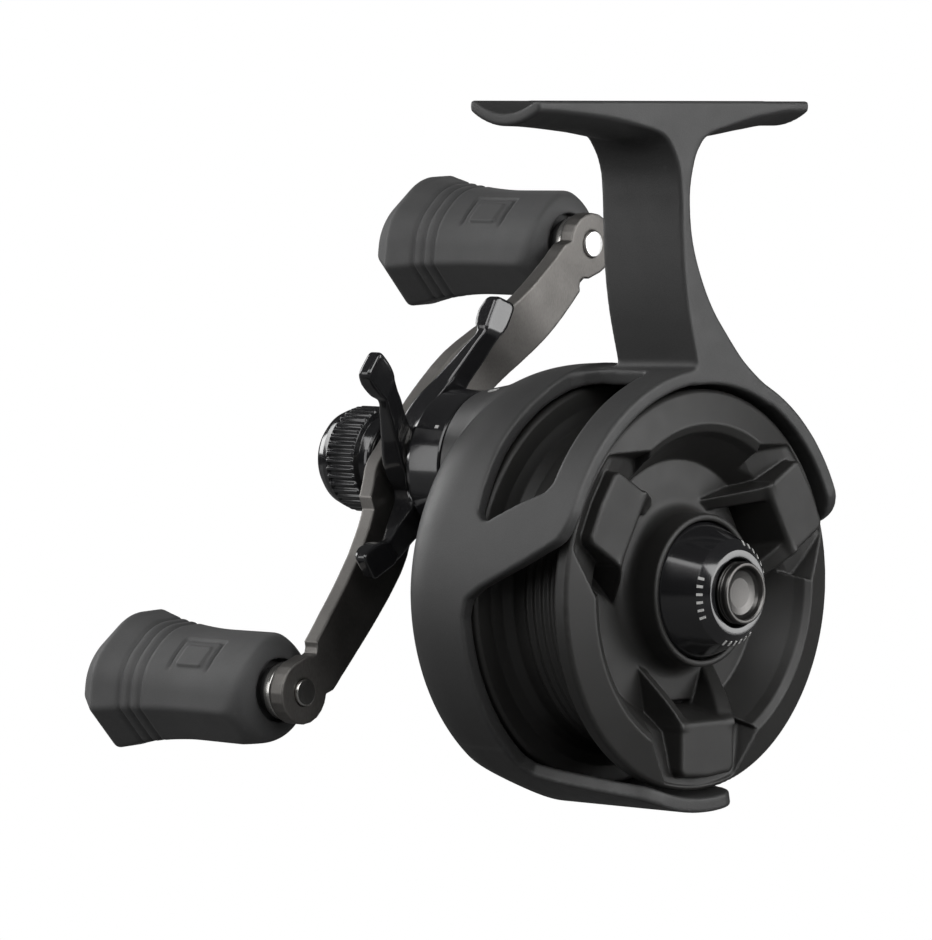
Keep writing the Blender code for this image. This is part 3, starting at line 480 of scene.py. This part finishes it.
def spool_field(x, y, z):
    """Arbor, flanges and dished face, with three lugs a third of a turn apart."""
    r = np.hypot(x, z)
    ridge = np.where((y > RIBS_START) & (y < RIBS_END),
                     0.5 + 0.5 * np.cos((y - RIB_FIRST) * 2 * math.pi / RIB_PITCH), 0.0)
    turned_part = polygon(r - RIB_HEIGHT * ridge * (r > RIBS_R), y, SPOOL_SECTION)
    turn = (np.degrees(np.arctan2(z, x)) - LUG_FIRST + LUG_PITCH / 2) % LUG_PITCH - LUG_PITCH / 2
    p, q = r * np.sin(np.radians(turn)), r * np.cos(np.radians(turn))
    side = np.abs(p)
    (edge_p, edge_q), (normal_p, normal_q) = SEAT_EDGE
    beyond = (side - edge_p) * normal_p + (q - edge_q) * normal_q
    seat = smax((y - SEAT_FACE + SEAT_BEVEL * beyond) * SEAT_GRADE, y - np.interp(q, *SEAT_FLOOR), 0.3)
    start, slant, grade = SEAT_INNER
    seat = smax(np.maximum(seat, (start + slant * side - q) * grade), r - SEAT_OUTER, 0.3)
    body = carve(turned_part, seat, 0.2)
    sleeve = np.maximum(smax(r - SLEEVE_R, SLEEVE_FRONT - y, 0.35), y - SLEEVE_BACK)
    body = smin(body, sleeve, 2.2)
    pocket = smax(polygon(p, q, inset(LUG_POCKET, 0.3)) - 0.3, y - POCKET_FLOOR, 0.6)
    body = carve(body, pocket, 0.3)
    back = (LUG_BACK - LUG_BACK_SLOPE * (y - LUG_FRONT) - q) * 0.98
    block = smax(polygon(p, q, inset(LUG_BLOCK, 1.4)) - 1.4, LUG_FRONT - y, 0.6)
    block = np.maximum(smax(block, back, 0.8), y - np.interp(q, *LUG_DEPTH))
    leg = polygon(side, q, inset(LUG_LEG, 0.2)) - 0.2
    outer = LEG_OUTSIDE - LEG_TAPER * (q - LEG_START)
    leg = smax(leg, (LEG_TOP(q) + LEG_LEAN * (outer - side) - y) * 0.74, 0.4)
    leg = np.maximum(leg, y - LEG_ROOT)
    body = smin(body, smin(block, leg, 0.6), 0.2)
    return smax(body, np.minimum(SLEEVE_BORE - r, SLEEVE_BACK - y), 0.25)


# ---- star drag wheel ----------------------------------------------------------------------
STAR_FIRST, STAR_PITCH = 70.5, 72.0     # degrees: the first arm's tip, and from tip to tip
STAR_R, STAR_HUB_R, STAR_BORE = 26.5, 7.6, 2.9
# Along an arm: half its width, the angle it is swept by, and the y of its outer and inner faces.
STAR_HALF = curve([(0.0, 4.2), (6.0, 3.9), (9.4, 3.2), (12.5, 2.4), (17.0, 2.05), (20.6, 1.85),
                   (21.8, 2.25), (26.5, 2.35)])
STAR_SWEEP = curve([(4.0, 46.0), (6.0, 40.0), (8.0, 32.0), (10.0, 22.0), (12.0, 14.0), (15.0, 8.0),
                    (20.0, 3.5), (23.0, 1.0), (26.2, 0.0), (28.0, 0.0)])
STAR_OUT = curve([(0.0, 53.4), (6.0, 53.3), (9.6, 52.2), (13.0, 50.2), (18.0, 47.2), (20.6, 45.9),
                  (22.0, 46.5), (24.0, 46.8), (25.6, 46.3), (27.5, 45.4)])
STAR_IN = curve([(0.0, 49.4), (7.6, 49.3), (8.2, 49.1), (9.2, 47.9), (10.5, 47.4), (13.0, 46.7),
                 (18.0, 44.8), (21.6, 43.7), (24.8, 43.7), (27.5, 43.5)])


def star_field(x, y, z):
    """Five swept arms with raised pads, round a hub."""
    dx, dz = x - SHAFT[0], z - SHAFT[1]
    r = np.hypot(dx, dz)
    turn = np.degrees(np.arctan2(dz, dx)) - STAR_FIRST - STAR_SWEEP(r)
    turn = (turn + STAR_PITCH / 2) % STAR_PITCH - STAR_PITCH / 2
    p, q = r * np.sin(np.radians(turn)), r * np.cos(np.radians(turn))
    arm = smax(np.abs(p) - STAR_HALF(q), q - STAR_R, 1.1)
    plan = smin(arm, r - STAR_HUB_R, 3.4)
    slab = smax((y - STAR_OUT(r)) * 0.86, (STAR_IN(r) - y) * 0.8, 0.3)
    return np.maximum(smax(plan, slab, 0.5), STAR_BORE - r)


# ---- crank --------------------------------------------------------------------------------
CRANK_T, CRANK_HEAD_R = 2.6, 4.9
CRANK_BORE, RIVET_HOLE = 2.55, 2.1
# Y of the face towards the reel along the crank, from the lower knob to the upper one.
CRANK_FACE = curve([(-54.0, 46.8), (-46.0, 46.8), (-40.7, 46.9), (-31.6, 47.9), (-22.0, 49.6),
                    (-15.0, 51.2), (-10.0, 52.9), (-6.5, 54.3), (-4.0, 54.6), (6.0, 54.6),
                    (8.0, 54.5), (12.0, 54.0), (18.2, 52.5), (23.7, 50.0), (29.1, 48.1),
                    (35.0, 47.4), (41.0, 47.2), (54.0, 47.2)])
# Width of an arm to either side of its middle line, as (distance from the hub, leading, trailing).
ARM_WIDTHS = [(0.0, 6.2, 6.2), (6.0, 6.3, 6.1), (12.4, 6.5, 5.6), (13.6, 6.6, 4.0), (17.0, 6.6, 3.6),
              (22.0, 6.3, 3.2), (28.0, 5.7, 3.2), (34.0, 5.1, 3.3), (39.4, 4.7, 3.2), (39.9, 4.7, 2.5),
              (40.7, 4.7, 2.1), (41.6, 4.65, 2.5), (42.2, 4.6, 3.3)]
HEAD_ANGLES = (128, 112, 96, 80, 62, 44, 26, 8, -10, -28, -46, -64, -82, -98, -112)


def crank_outline():
    """Plan of the crank as (s, w), one arm being the other turned half a turn."""
    head = [(REACH + CRANK_HEAD_R * math.cos(math.radians(a)),
             CRANK_HEAD_R * math.sin(math.radians(a))) for a in HEAD_ANGLES]
    leading = [(s, w) for s, w, _ in ARM_WIDTHS]
    trailing = [(s, -w) for s, _, w in reversed(ARM_WIDTHS)]
    arm = leading + head + trailing[:-1]
    return arm + [(-s, -w) for s, w in arm]


CRANK_PLAN = crank_outline()


def crank_field(x, y, z):
    """A bent flat bar with two arms, rounded heads and a hole for each rivet."""
    dx, dz = x - SHAFT[0], z - SHAFT[1]
    s = dx * math.cos(CRANK_ANGLE) + dz * math.sin(CRANK_ANGLE)
    w = dz * math.cos(CRANK_ANGLE) - dx * math.sin(CRANK_ANGLE)
    face = CRANK_FACE(s)
    plan = polygon(s, w, CRANK_PLAN)
    plan = smax(plan, RIVET_HOLE - np.hypot(np.abs(s) - REACH, w), 0.1)
    plan = np.maximum(plan, CRANK_BORE - np.hypot(s, w))
    strip = np.maximum((face - y) * 0.9, (y - face - CRANK_T) * 0.9)
    return smax(plan, strip, 0.22)


# ---- knobs --------------------------------------------------------------------------------
KNOB_START, KNOB_LENGTH = 52.7, 34.7
GRIP_MOUTH = -0.6
BROAD_FACE = math.radians(47.0)         # the badge's broad face looks this far above -X
# Along the grip: distance from the axis to its long edges, and to the round of its shoulder.
GRIP_EDGE = curve([(-2.0, 9.2), (6.0, 9.15), (12.9, 9.1), (18.0, 9.4), (20.4, 9.7), (24.2, 10.3),
                   (27.0, 11.0), (29.2, 11.5), (29.4, 11.5)])
GRIP_CHAMFER = (29.3, 11.5), (34.7, 7.1)        # from the flare to the end
GRIP_SHOULDER = curve([(-1.0, 5.0), (-0.2, 6.6), (0.2, 7.3), (0.9, 8.0), (2.0, 8.7), (3.8, 9.6),
                       (6.0, 10.7), (10.0, 12.5), (36.0, 14.0)])
GROOVES, GROOVE_DEPTH, GROOVE_WIDTH = (20.5, 22.4, 24.3), 0.42, 0.36
# Distances from the axis where the long edges are 11 mm away: the edges themselves, the narrow
# flats, the broad faces, and the slanted flats between those two.
EDGE_R, END_FLAT, BROAD_FLAT, SLANT_FLAT = 11.0, 10.2, 8.7, 9.76
SLANT = 0.652, 0.758                    # the slanted flats' normal
SOCKET_R, SOCKET_DEPTH = 4.8, 1.2
BADGE_MIDDLE, BADGE_SHIFT = 11.9, 0.8
BADGE_HALF, BADGE_PAD_HALF = (3.7, 4.3), (2.0, 2.6)     # across and along: the frame, and the pad
TRENCH_WIDTH, TRENCH_DEPTH = 0.65, 0.42
PAD_HEIGHT, PAD_ROOT, FACE_INSET = 0.28, 1.0, 0.04


def grip_field(centre):
    """A flattened barrel: two broad faces, two narrow flat ones, a flared end and a round shoulder."""
    def field(x, y, z):
        dx, dz = centre[0] - x, z - centre[1]
        d = y - KNOB_START
        r = np.hypot(dx, dz)
        broad = dx * math.cos(BROAD_FACE) + dz * math.sin(BROAD_FACE)
        narrow = dx * math.sin(BROAD_FACE) - dz * math.cos(BROAD_FACE)
        a, b = np.abs(narrow), np.abs(broad)
        slanted = SLANT[0] * a + SLANT[1] * b
        gauge = smax(b * (EDGE_R / BROAD_FLAT), slanted * (EDGE_R / SLANT_FLAT), 2.6)
        gauge = smax(gauge, a * (EDGE_R / END_FLAT), 0.5)
        dent = sum(GROOVE_DEPTH * np.exp(-((d - g) / GROOVE_WIDTH) ** 2) for g in GROOVES)
        (d0, r0), (d1, r1) = GRIP_CHAMFER
        edge = GRIP_EDGE(d)
        cone = r0 + (d - d0) * (r1 - r0) / (d1 - d0)
        body = smax((gauge - edge + dent) * 0.85, (gauge - cone) * 0.7, 0.3)
        body = smax(body, (r - GRIP_SHOULDER(d)) * 0.8, 0.6)
        body = smax(body, np.maximum(GRIP_MOUTH - d, d - KNOB_LENGTH), 0.9)
        face = edge * (BROAD_FLAT / EDGE_R) - FACE_INSET
        aside, along = np.abs(narrow - BADGE_SHIFT), np.abs(d - BADGE_MIDDLE)
        outline = smax(aside - BADGE_HALF[0], along - BADGE_HALF[1], 0.5)
        trench = smax(np.maximum(outline, -TRENCH_WIDTH - outline), face - TRENCH_DEPTH - broad, 0.15)
        body = carve(body, trench, 0.15)
        pad = smax(aside - BADGE_PAD_HALF[0], along - BADGE_PAD_HALF[1], 0.5)
        pad = smax(pad, broad - face - PAD_HEIGHT, 0.2)
        body = smin(body, np.maximum(pad, face - PAD_ROOT - broad), 0.15)
        return np.maximum(body, -np.maximum(r - SOCKET_R, d - SOCKET_DEPTH))
    return field


# ---- materials ----------------------------------------------------------------------------
NOISE_LOW, NOISE_HIGH = 0.3, 0.7        # the part of a noise's range that is used
DRIFT_SCALE, PATCH_SCALE = 45.0, 350.0  # noise scales for drift of colour, and of roughness
GRAIN_SHADE, PATCH_ROUGH = 0.1, 0.07    # how far they change the colour and the roughness
EDGE_STARTS, EDGE_ENDS, HIGHLIGHT_LIGHTNESS = 0.53, 0.66, 2.2      # pointiness of an edge, and how light its painted highlight is
COAT_ROUGH, SHEEN_ROUGH = 0.06, 0.5


def grey(value):
    """A grey as red, green, blue and alpha."""
    return value, value, value, 1.0


def scaled(colour, factor):
    """A colour made lighter or darker, with alpha added."""
    return tuple(c * factor for c in colour) + (1.0,)


def material(name, colour, rough, metallic=0.0, grain=0.25, bump=0.02, mottle=0.12, edge_highlight=0.0,
             coat=0.0, brushed=None, sheen=0.0, specular=0.5):
    """A procedural finish.

    Grain is the size in millimetres of the fine texture and bump its height. Mottle is how much the
    colour drifts over a few centimetres. The argument after mottle sets how far convex edges are
    lightened, a painted highlight. Brushed stretches the grain along an axis.
    """
    made = bpy.data.materials.new(name)
    made.use_nodes = True
    nodes, links = made.node_tree.nodes, made.node_tree.links
    shader = nodes["Principled BSDF"]

    def noise(scale, detail, stretch=None):
        place = nodes.new("ShaderNodeTexCoord")
        mapping = nodes.new("ShaderNodeMapping")
        mapping.inputs["Scale"].default_value = stretch or (1.0, 1.0, 1.0)
        texture = nodes.new("ShaderNodeTexNoise")
        texture.inputs["Scale"].default_value = scale
        texture.inputs["Detail"].default_value = detail
        links.new(place.outputs["Object"], mapping.inputs["Vector"])
        links.new(mapping.outputs["Vector"], texture.inputs["Vector"])
        return texture.outputs["Fac"]

    def remap(value, low, high):
        node = nodes.new("ShaderNodeMapRange")
        node.inputs["From Min"].default_value = NOISE_LOW
        node.inputs["From Max"].default_value = NOISE_HIGH
        node.inputs["To Min"].default_value = low
        node.inputs["To Max"].default_value = high
        links.new(value, node.inputs["Value"])
        return node.outputs["Result"]

    def mix(blend, factor, a, b):
        node = nodes.new("ShaderNodeMix")
        node.data_type = "RGBA"
        node.blend_type = blend
        for socket, value in ((node.inputs[0], factor), (node.inputs[6], a), (node.inputs[7], b)):
            if isinstance(value, bpy.types.NodeSocket):
                links.new(value, socket)
            else:
                socket.default_value = value
        return node.outputs[2]

    fine = noise(1.0 / (grain * MM), 3.0, brushed)
    middle = noise(PATCH_SCALE, 3.0)
    broad = noise(DRIFT_SCALE, 2.0)
    base = mix("MIX", remap(broad, 0.0, 1.0), scaled(colour, 1 - mottle), scaled(colour, 1 + mottle))
    speckle = mix("MIX", remap(fine, 0.0, 1.0), grey(1 - GRAIN_SHADE), grey(1 + GRAIN_SHADE))
    base = mix("MULTIPLY", 1.0, base, speckle)
    # Convex edges, found by pointiness, are lightened towards a lighter copy of the colour: a painted
    # highlight.
    if edge_highlight:
        geometry = nodes.new("ShaderNodeNewGeometry")
        edge = nodes.new("ShaderNodeMapRange")
        edge.inputs["From Min"].default_value = EDGE_STARTS
        edge.inputs["From Max"].default_value = EDGE_ENDS
        edge.inputs["To Max"].default_value = edge_highlight
        links.new(geometry.outputs["Pointiness"], edge.inputs["Value"])
        base = mix("MIX", edge.outputs["Result"], base, scaled(colour, HIGHLIGHT_LIGHTNESS))
    links.new(base, shader.inputs["Base Color"])
    links.new(remap(middle, rough * (1 - PATCH_ROUGH), rough * (1 + PATCH_ROUGH)),
              shader.inputs["Roughness"])
    shader.inputs["Metallic"].default_value = metallic
    shader.inputs["Specular IOR Level"].default_value = specular
    shader.inputs["Coat Weight"].default_value = coat
    shader.inputs["Coat Roughness"].default_value = COAT_ROUGH
    shader.inputs["Sheen Weight"].default_value = sheen
    shader.inputs["Sheen Roughness"].default_value = SHEEN_ROUGH
    relief = nodes.new("ShaderNodeBump")
    relief.inputs["Strength"].default_value = 1.0
    relief.inputs["Distance"].default_value = bump * MM
    links.new(fine, relief.inputs["Height"])
    links.new(relief.outputs["Normal"], shader.inputs["Normal"])
    return made


# The edge lightening in these finishes is a painted highlight on convex edges.
FINISHES = {
    "housing_black": material("housing_coat", (0.034, 0.034, 0.034), 0.5, grain=0.22, bump=0.018,
                              edge_highlight=0.25),
    "spool_grey": material("spool_coat", (0.0165, 0.0161, 0.0154), 0.46, grain=0.18, bump=0.008,
                           edge_highlight=0.2, specular=0.42),
    "gloss_black": material("gloss_black", (0.012, 0.012, 0.013), 0.16, grain=0.5, bump=0.001,
                            coat=0.6),
    "gunmetal": material("gunmetal", (0.17, 0.163, 0.155), 0.52, 1.0, grain=0.16, bump=0.004,
                         edge_highlight=0.2, brushed=(1.0, 1.0, 0.25)),
    "bright_steel": material("bright_steel", (0.56, 0.55, 0.53), 0.24, 1.0, grain=0.15, bump=0.003),
    "brass": material("brass", (0.62, 0.43, 0.16), 0.3, 1.0, grain=0.2, bump=0.003),
    "grip_rubber": material("grip_rubber", (0.051, 0.051, 0.0515), 0.62, grain=0.16, bump=0.012,
                            sheen=0.05, edge_highlight=0.12),
    "carbon": material("carbon", (0.02, 0.02, 0.02), 0.6, grain=0.6, bump=0.02),
    "nylon": material("nylon", (0.015, 0.015, 0.015), 0.5, grain=0.2, bump=0.01),
}
BUTTON_METAL = material("button_metal", (0.105, 0.102, 0.099), 0.34, 1.0, grain=0.12, bump=0.004)
PALE_INK = material("pale_ink", (0.42, 0.42, 0.41), 0.6, grain=0.1, bump=0.004)
# A lighter copy of the bright steel for the upper rivet alone, a painted highlight.
LIT_RIVET_STEEL = material("lit_rivet_steel", (0.9, 0.9, 0.89), 0.3, 1.0, grain=0.3, bump=0.001)


def finished(obj, body, slot, node=None, own=None):
    """Gives a piece its material, ties it to its CAD body, and hides the CAD node that it stands for.
    """
    obj.data.materials.append(own or FINISHES[slot])
    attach(obj, body)
    if node:
        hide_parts(node)


# ---- cast and moulded pieces --------------------------------------------------------------
def box_of(node, margin):
    """A CAD node's box in millimetres, grown by a margin."""
    low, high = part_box(node)
    return [v / MM - margin for v in low], [v / MM + margin for v in high]


# Name, field, CAD node, room round the node's box, size of the mesh's cells, body, slot.
CAST = [
    ("housing_casting", housing_field, "main_housing", 1.6, 0.37, "housing", "housing_black"),
    ("spool_casting", spool_field, "spool", 0.8, 0.27, "spool_assembly", "spool_grey"),
    ("star_wheel", star_field, "star_drag_wheel", 1.0, 0.24, "star_drag", "gloss_black"),
    ("crank", crank_field, "crank_arm", 1.2, 0.21, "handle", "gunmetal"),
] + [(f"grip_{side}", grip_field(centre), f"knob_grip_{side}", 2.4, 0.3, f"{side}_knob", "grip_rubber")
     for side, centre in KNOBS.items()]
for name, field, node, room, cell, body, slot in CAST:
    finished(skin(name, field, *box_of(node, room), cell), body, slot, node)


# ---- turned pieces ------------------------------------------------------------------------
KNURL, KNURL_SQUARENESS = 40, 2.2       # how many teeth, and how flat their tops are
KNURL_HALF_DEPTH, KNURL_ROOT, KNURL_START, KNURL_END = 0.24, 7.9, 60.35, 65.85


def knurl(r, y, angle):
    """Square-topped teeth round the nut."""
    wave = np.clip(np.cos(angle * KNURL) * KNURL_SQUARENESS, -1.0, 1.0)
    return r - KNURL_HALF_DEPTH * (1.0 - wave) * ((r > KNURL_ROOT) & (y > KNURL_START)
                                                  & (y < KNURL_END))


def ring(inner, outer, y0, y1):
    """Section of a plain ring, as (radius, y)."""
    return [(inner, y1), (outer, y1), (outer, y0), (inner, y0)]


# Sections of the turned pieces, as (radius, y).
RELEASE_KNOB = [(3.1, 8.0), (10.15, 8.0), (10.2, -0.7), (10.05, -1.0), (7.95, -6.15), (6.5, -7.4),
                (6.35, -7.5), (5.3, -7.5), (5.1, -7.3), (5.1, 6.8), (3.1, 6.8)]
RELEASE_BUTTON = [(0, 0.4), (4.0, 0.4), (4.0, -1.0), (4.65, -1.3), (4.65, -7.45), (4.5, -7.5),
                  (4.5, -7.65), (4.65, -7.7), (4.65, -7.95), (4.5, -8.0), (4.5, -8.15), (4.65, -8.2),
                  (4.65, -8.85), (4.5, -9.1), (4.1, -9.1), (3.85, -8.95), (3.65, -8.4), (3.3, -8.0),
                  (2.2, -7.8), (0, -7.75)]
COLLAR_R = 11.5
COLLAR = [(4.4, 46.3), (10.7, 46.3), (11.3, 45.95), (COLLAR_R, 45.3), (COLLAR_R, 39.55), (11.3, 39.3),
          (4.4, 39.3)]
NUT = [(0, 71.0), (2.6, 70.85), (4.7, 70.35), (6.3, 69.4), (7.3, 68.2), (7.75, 67.0), (7.85, 66.1),
       (8.2, 65.8), (8.2, 63.0), (8.2, 60.7), (7.9, 60.3), (7.1, 60.0), (6.7, 59.2), (6.6, 58.7),
       (6.3, 58.4), (2.5, 58.4), (2.5, 64.0), (0, 64.0)]
RIVET_STEM = [(0, 79.0), (1.6, 79.0), (2.0, 78.6), (2.0, 50.2), (2.05, 50.0)]
RIVET_HEADS = {"lower": [(2.05, 46.5), (1.9, 46.35), (0, 46.3)],
               "upper": [(2.05, 46.9), (1.95, 46.78), (0, 46.75)]}
HUB_WASHER = ring(2.5, 5.6, 57.5, 58.1)
KNOB_WASHER = ring(2.1, 4.4, 49.9, 51.2)
KNOB_BUSH = ring(2.1, 3.9, 51.35, 52.5)

finished(turned("release_cone", RELEASE_KNOB, SPOOL, 192, True, 0.12), "spool_assembly",
         "gloss_black", "release_knob")
finished(turned("release_push", RELEASE_BUTTON, SPOOL, 144, False, 0.2), "release_button",
         "gunmetal", "release_button", BUTTON_METAL)
finished(turned("collar", COLLAR, SHAFT, 160, True, 0.2), "anti_reverse",
         "gloss_black", "anti_reverse_ring")
finished(turned("nut", NUT, SHAFT, KNURL * 8, False, 0.3, knurl), "handle",
         "gloss_black", "handle_nut")
finished(turned("hub_washer", HUB_WASHER, SHAFT, 96, True, 0.12), "handle",
         "bright_steel", "handle_washer")
for side, centre in KNOBS.items():
    # The upper rivet takes the lighter steel copy, a painted highlight; the lower one takes the plain
    # steel.
    finished(turned(f"rivet_{side}", RIVET_STEM + RIVET_HEADS[side], centre, 96, False, 0.25),
             "handle", "bright_steel", f"knob_rivet_{side}", LIT_RIVET_STEEL if side == "upper" else None)
    finished(turned(f"washer_{side}", KNOB_WASHER, centre, 96, True, 0.15), "handle",
             "bright_steel", f"knob_washer_{side}")
    finished(turned(f"bush_{side}", KNOB_BUSH, centre, 96, True, 0.1), "handle",
             "nylon", f"knob_bush_{side}")


# ---- plain marks --------------------------------------------------------------------------
def dash(name, axis, radius, y0, y1, angle0, angle1, lean=0.0, thick=0.06):
    """A thin raised dash that hugs a round surface, between two angles and two depths.

    The radius holds at y0 and changes by lean for each millimetre towards +Y.
    """
    across, along, sunk = 10, 3, -0.1
    points, faces = [], []
    for layer in (sunk, thick):
        for i in range(across + 1):
            for k in range(along + 1):
                y = y0 + (y1 - y0) * k / along
                a = math.radians(angle0 + (angle1 - angle0) * i / across)
                r = radius + lean * (y - y0) + layer
                points.append((axis[0] + r * math.cos(a), y, axis[1] + r * math.sin(a)))
    span = along + 1
    skip = (across + 1) * span
    for i in range(across):
        for k in range(along):
            a = i * span + k
            faces.append((a, a + 1, a + span + 1, a + span))
            faces.append((a + skip, a + span + skip, a + span + 1 + skip, a + 1 + skip))
    rim = [i * span for i in range(across + 1)] + [across * span + k for k in range(1, span)]
    rim += [i * span + along for i in range(across - 1, -1, -1)] + [k for k in range(along - 1, 0, -1)]
    for a, b in zip(rim, rim[1:] + rim[:1]):
        faces.append((a, a + skip, b + skip, b))
    obj = mesh_object(name, points, np.array(faces))
    outward(obj)
    obj.data.shade_flat()
    return obj


TICK_GROUPS = [(20, 70), (160, 205), (255, 300)]        # first and last tick, in degrees
TICKS, TICK_WIDTH, TICK_R = 6, 3.0, 7.3
TICK_Y = -6.75, -6.15
CONE_FLARE = 1.08                       # the cone's growth in radius for each millimetre towards +Y
BOSS_MARK_R = 12.72
for group, (first, last) in enumerate(TICK_GROUPS):
    for i in range(TICKS):
        a = first + (last - first) * i / (TICKS - 1)
        finished(dash(f"cone_tick_{group}_{i}", SPOOL, TICK_R, *TICK_Y, a, a + TICK_WIDTH, CONE_FLARE),
                 "spool_assembly", "gloss_black", own=PALE_INK)
finished(dash("collar_mark", SHAFT, COLLAR_R, 40.8, 41.5, 146.5, 149.0), "anti_reverse",
         "gloss_black", own=PALE_INK)
finished(dash("boss_mark", SHAFT, BOSS_MARK_R, 33.4, 35.4, 109, 112, -BOSS_FLARE), "housing",
         "housing_black", own=PALE_INK)

# ---- CAD pieces that stay -----------------------------------------------------------------
KEPT = {"gear_plate": "nylon", "drive_gear": "brass", "drag_washer_carbon": "carbon"}
for name, node in frame["nodes"].items():
    if not node.hide_render:
        node.data.materials.clear()
        node.data.materials.append(FINISHES[KEPT.get(name, "bright_steel")])

# ---- camera -------------------------------------------------------------------------------
AZIMUTH, ELEVATION, ROLL = math.radians(-47.59), math.radians(3.25), math.radians(0.14)
CAMERA_DISTANCE = 969.3
CAMERA_ASIDE, CAMERA_ABOVE = -34.82024, 17.90968        # of the line through the frame's origin
LENS_MM, SENSOR_MM = 248.93617, 36.0
toward = Vector((math.sin(AZIMUTH) * math.cos(ELEVATION), -math.cos(AZIMUTH) * math.cos(ELEVATION),
                 math.sin(ELEVATION)))
across = Vector((math.cos(AZIMUTH), math.sin(AZIMUTH), 0.0))
upward = toward.cross(across)
rolled = across * math.cos(ROLL) + upward * math.sin(ROLL)
raised = upward * math.cos(ROLL) - across * math.sin(ROLL)
place = (toward * CAMERA_DISTANCE + rolled * CAMERA_ASIDE + raised * CAMERA_ABOVE) * MM
lens = bpy.data.cameras.new("camera")
lens.sensor_fit = "VERTICAL"
lens.sensor_height = SENSOR_MM
lens.lens = LENS_MM
lens.clip_start, lens.clip_end = 0.01, 60.0
camera = bpy.data.objects.new("camera", lens)
bpy.context.scene.collection.objects.link(camera)
camera.matrix_world = (Matrix.Translation(place)
                       @ Matrix((rolled, raised, toward)).transposed().to_4x4())
bpy.context.scene.camera = camera

# ---- lamps --------------------------------------------------------------------------------
LAMP_AIM = Vector((-22.7, 26.4, 17.9)) * MM
LAMP_DISTANCE, LAMP_SIZE = 0.7, 0.4
# Each lamp's direction as (right, up, toward the camera), and its power in watts.
LAMPS = {
    "upper_left": ((-0.7, 0.7, 0.5), 1.9),
    "left": ((-1.0, 0.1, 0.3), 1.1),
    "right_front": ((0.8, 0.4, 0.7), 2.4),
    "over_camera": ((0.0, 0.6, 1.0), 1.4),
    "right": ((1.0, 0.1, 0.1), 2.2),
    "left_back": ((-0.9, 0.4, -0.6), 2.1),
}
for name, ((right, up, near), power) in LAMPS.items():
    lamp = bpy.data.lights.new(name, "AREA")
    lamp.shape = "RECTANGLE"
    lamp.size = lamp.size_y = LAMP_SIZE
    lamp.energy = power
    softbox = bpy.data.objects.new(name, lamp)
    way = (across * right + Vector((0, 0, 1)) * up + toward * near).normalized()
    softbox.location = LAMP_AIM + way * LAMP_DISTANCE
    softbox.rotation_euler = way.to_track_quat("Z", "Y").to_euler()
    bpy.context.scene.collection.objects.link(softbox)


# ---- studio and floor ---------------------------------------------------------------------
def white_to_camera(tree, shader, white_kind, output):
    """Shows the camera plain white in place of a shader, which still lights the reel."""
    nodes, links = tree.nodes, tree.links
    white = nodes.new(white_kind)
    white.inputs["Color"].default_value = grey(1.0)
    ray = nodes.new("ShaderNodeLightPath")
    choose = nodes.new("ShaderNodeMixShader")
    links.new(ray.outputs["Is Camera Ray"], choose.inputs["Fac"])
    links.new(shader.outputs[0], choose.inputs[1])
    links.new(white.outputs[0], choose.inputs[2])
    links.new(choose.outputs["Shader"], nodes[output].inputs["Surface"])


# The studio's light grows from its floor to its ceiling: (place in the height, brightness).
STUDIO_LOW, STUDIO_HIGH = (0.35, 0.004), (0.95, 0.06)
world = bpy.data.worlds.new("studio")
world.use_nodes = True
bpy.context.scene.world = world
nodes, links = world.node_tree.nodes, world.node_tree.links
coord = nodes.new("ShaderNodeTexCoord")
split = nodes.new("ShaderNodeSeparateXYZ")
height = nodes.new("ShaderNodeMapRange")
height.inputs["From Min"].default_value = -1.0
ramp = nodes.new("ShaderNodeValToRGB")
for stop, (position, brightness) in zip(ramp.color_ramp.elements, (STUDIO_LOW, STUDIO_HIGH)):
    stop.position, stop.color = position, grey(brightness)
links.new(coord.outputs["Generated"], split.inputs["Vector"])
links.new(split.outputs["Z"], height.inputs["Value"])
links.new(height.outputs["Result"], ramp.inputs["Fac"])
links.new(ramp.outputs["Color"], nodes["Background"].inputs["Color"])
white_to_camera(world.node_tree, nodes["Background"], "ShaderNodeBackground", "World Output")
bpy.context.scene.view_settings.view_transform = "Standard"

HALF_FLOOR, FLOOR_Z = 8.0, -0.075       # metres
floor_mesh = bpy.data.meshes.new("floor")
floor_mesh.from_pydata([(a * HALF_FLOOR, b * HALF_FLOOR, FLOOR_Z)
                        for a, b in ((-1, -1), (1, -1), (1, 1), (-1, 1))], [], [(0, 1, 2, 3)])
floor = bpy.data.objects.new("floor", floor_mesh)
bpy.context.scene.collection.objects.link(floor)
pale = bpy.data.materials.new("pale_floor")
pale.use_nodes = True
matte = pale.node_tree.nodes["Principled BSDF"]
matte.inputs["Base Color"].default_value = grey(0.12)
matte.inputs["Roughness"].default_value = 0.9
white_to_camera(pale.node_tree, matte, "ShaderNodeEmission", "Material Output")
floor_mesh.materials.append(pale)
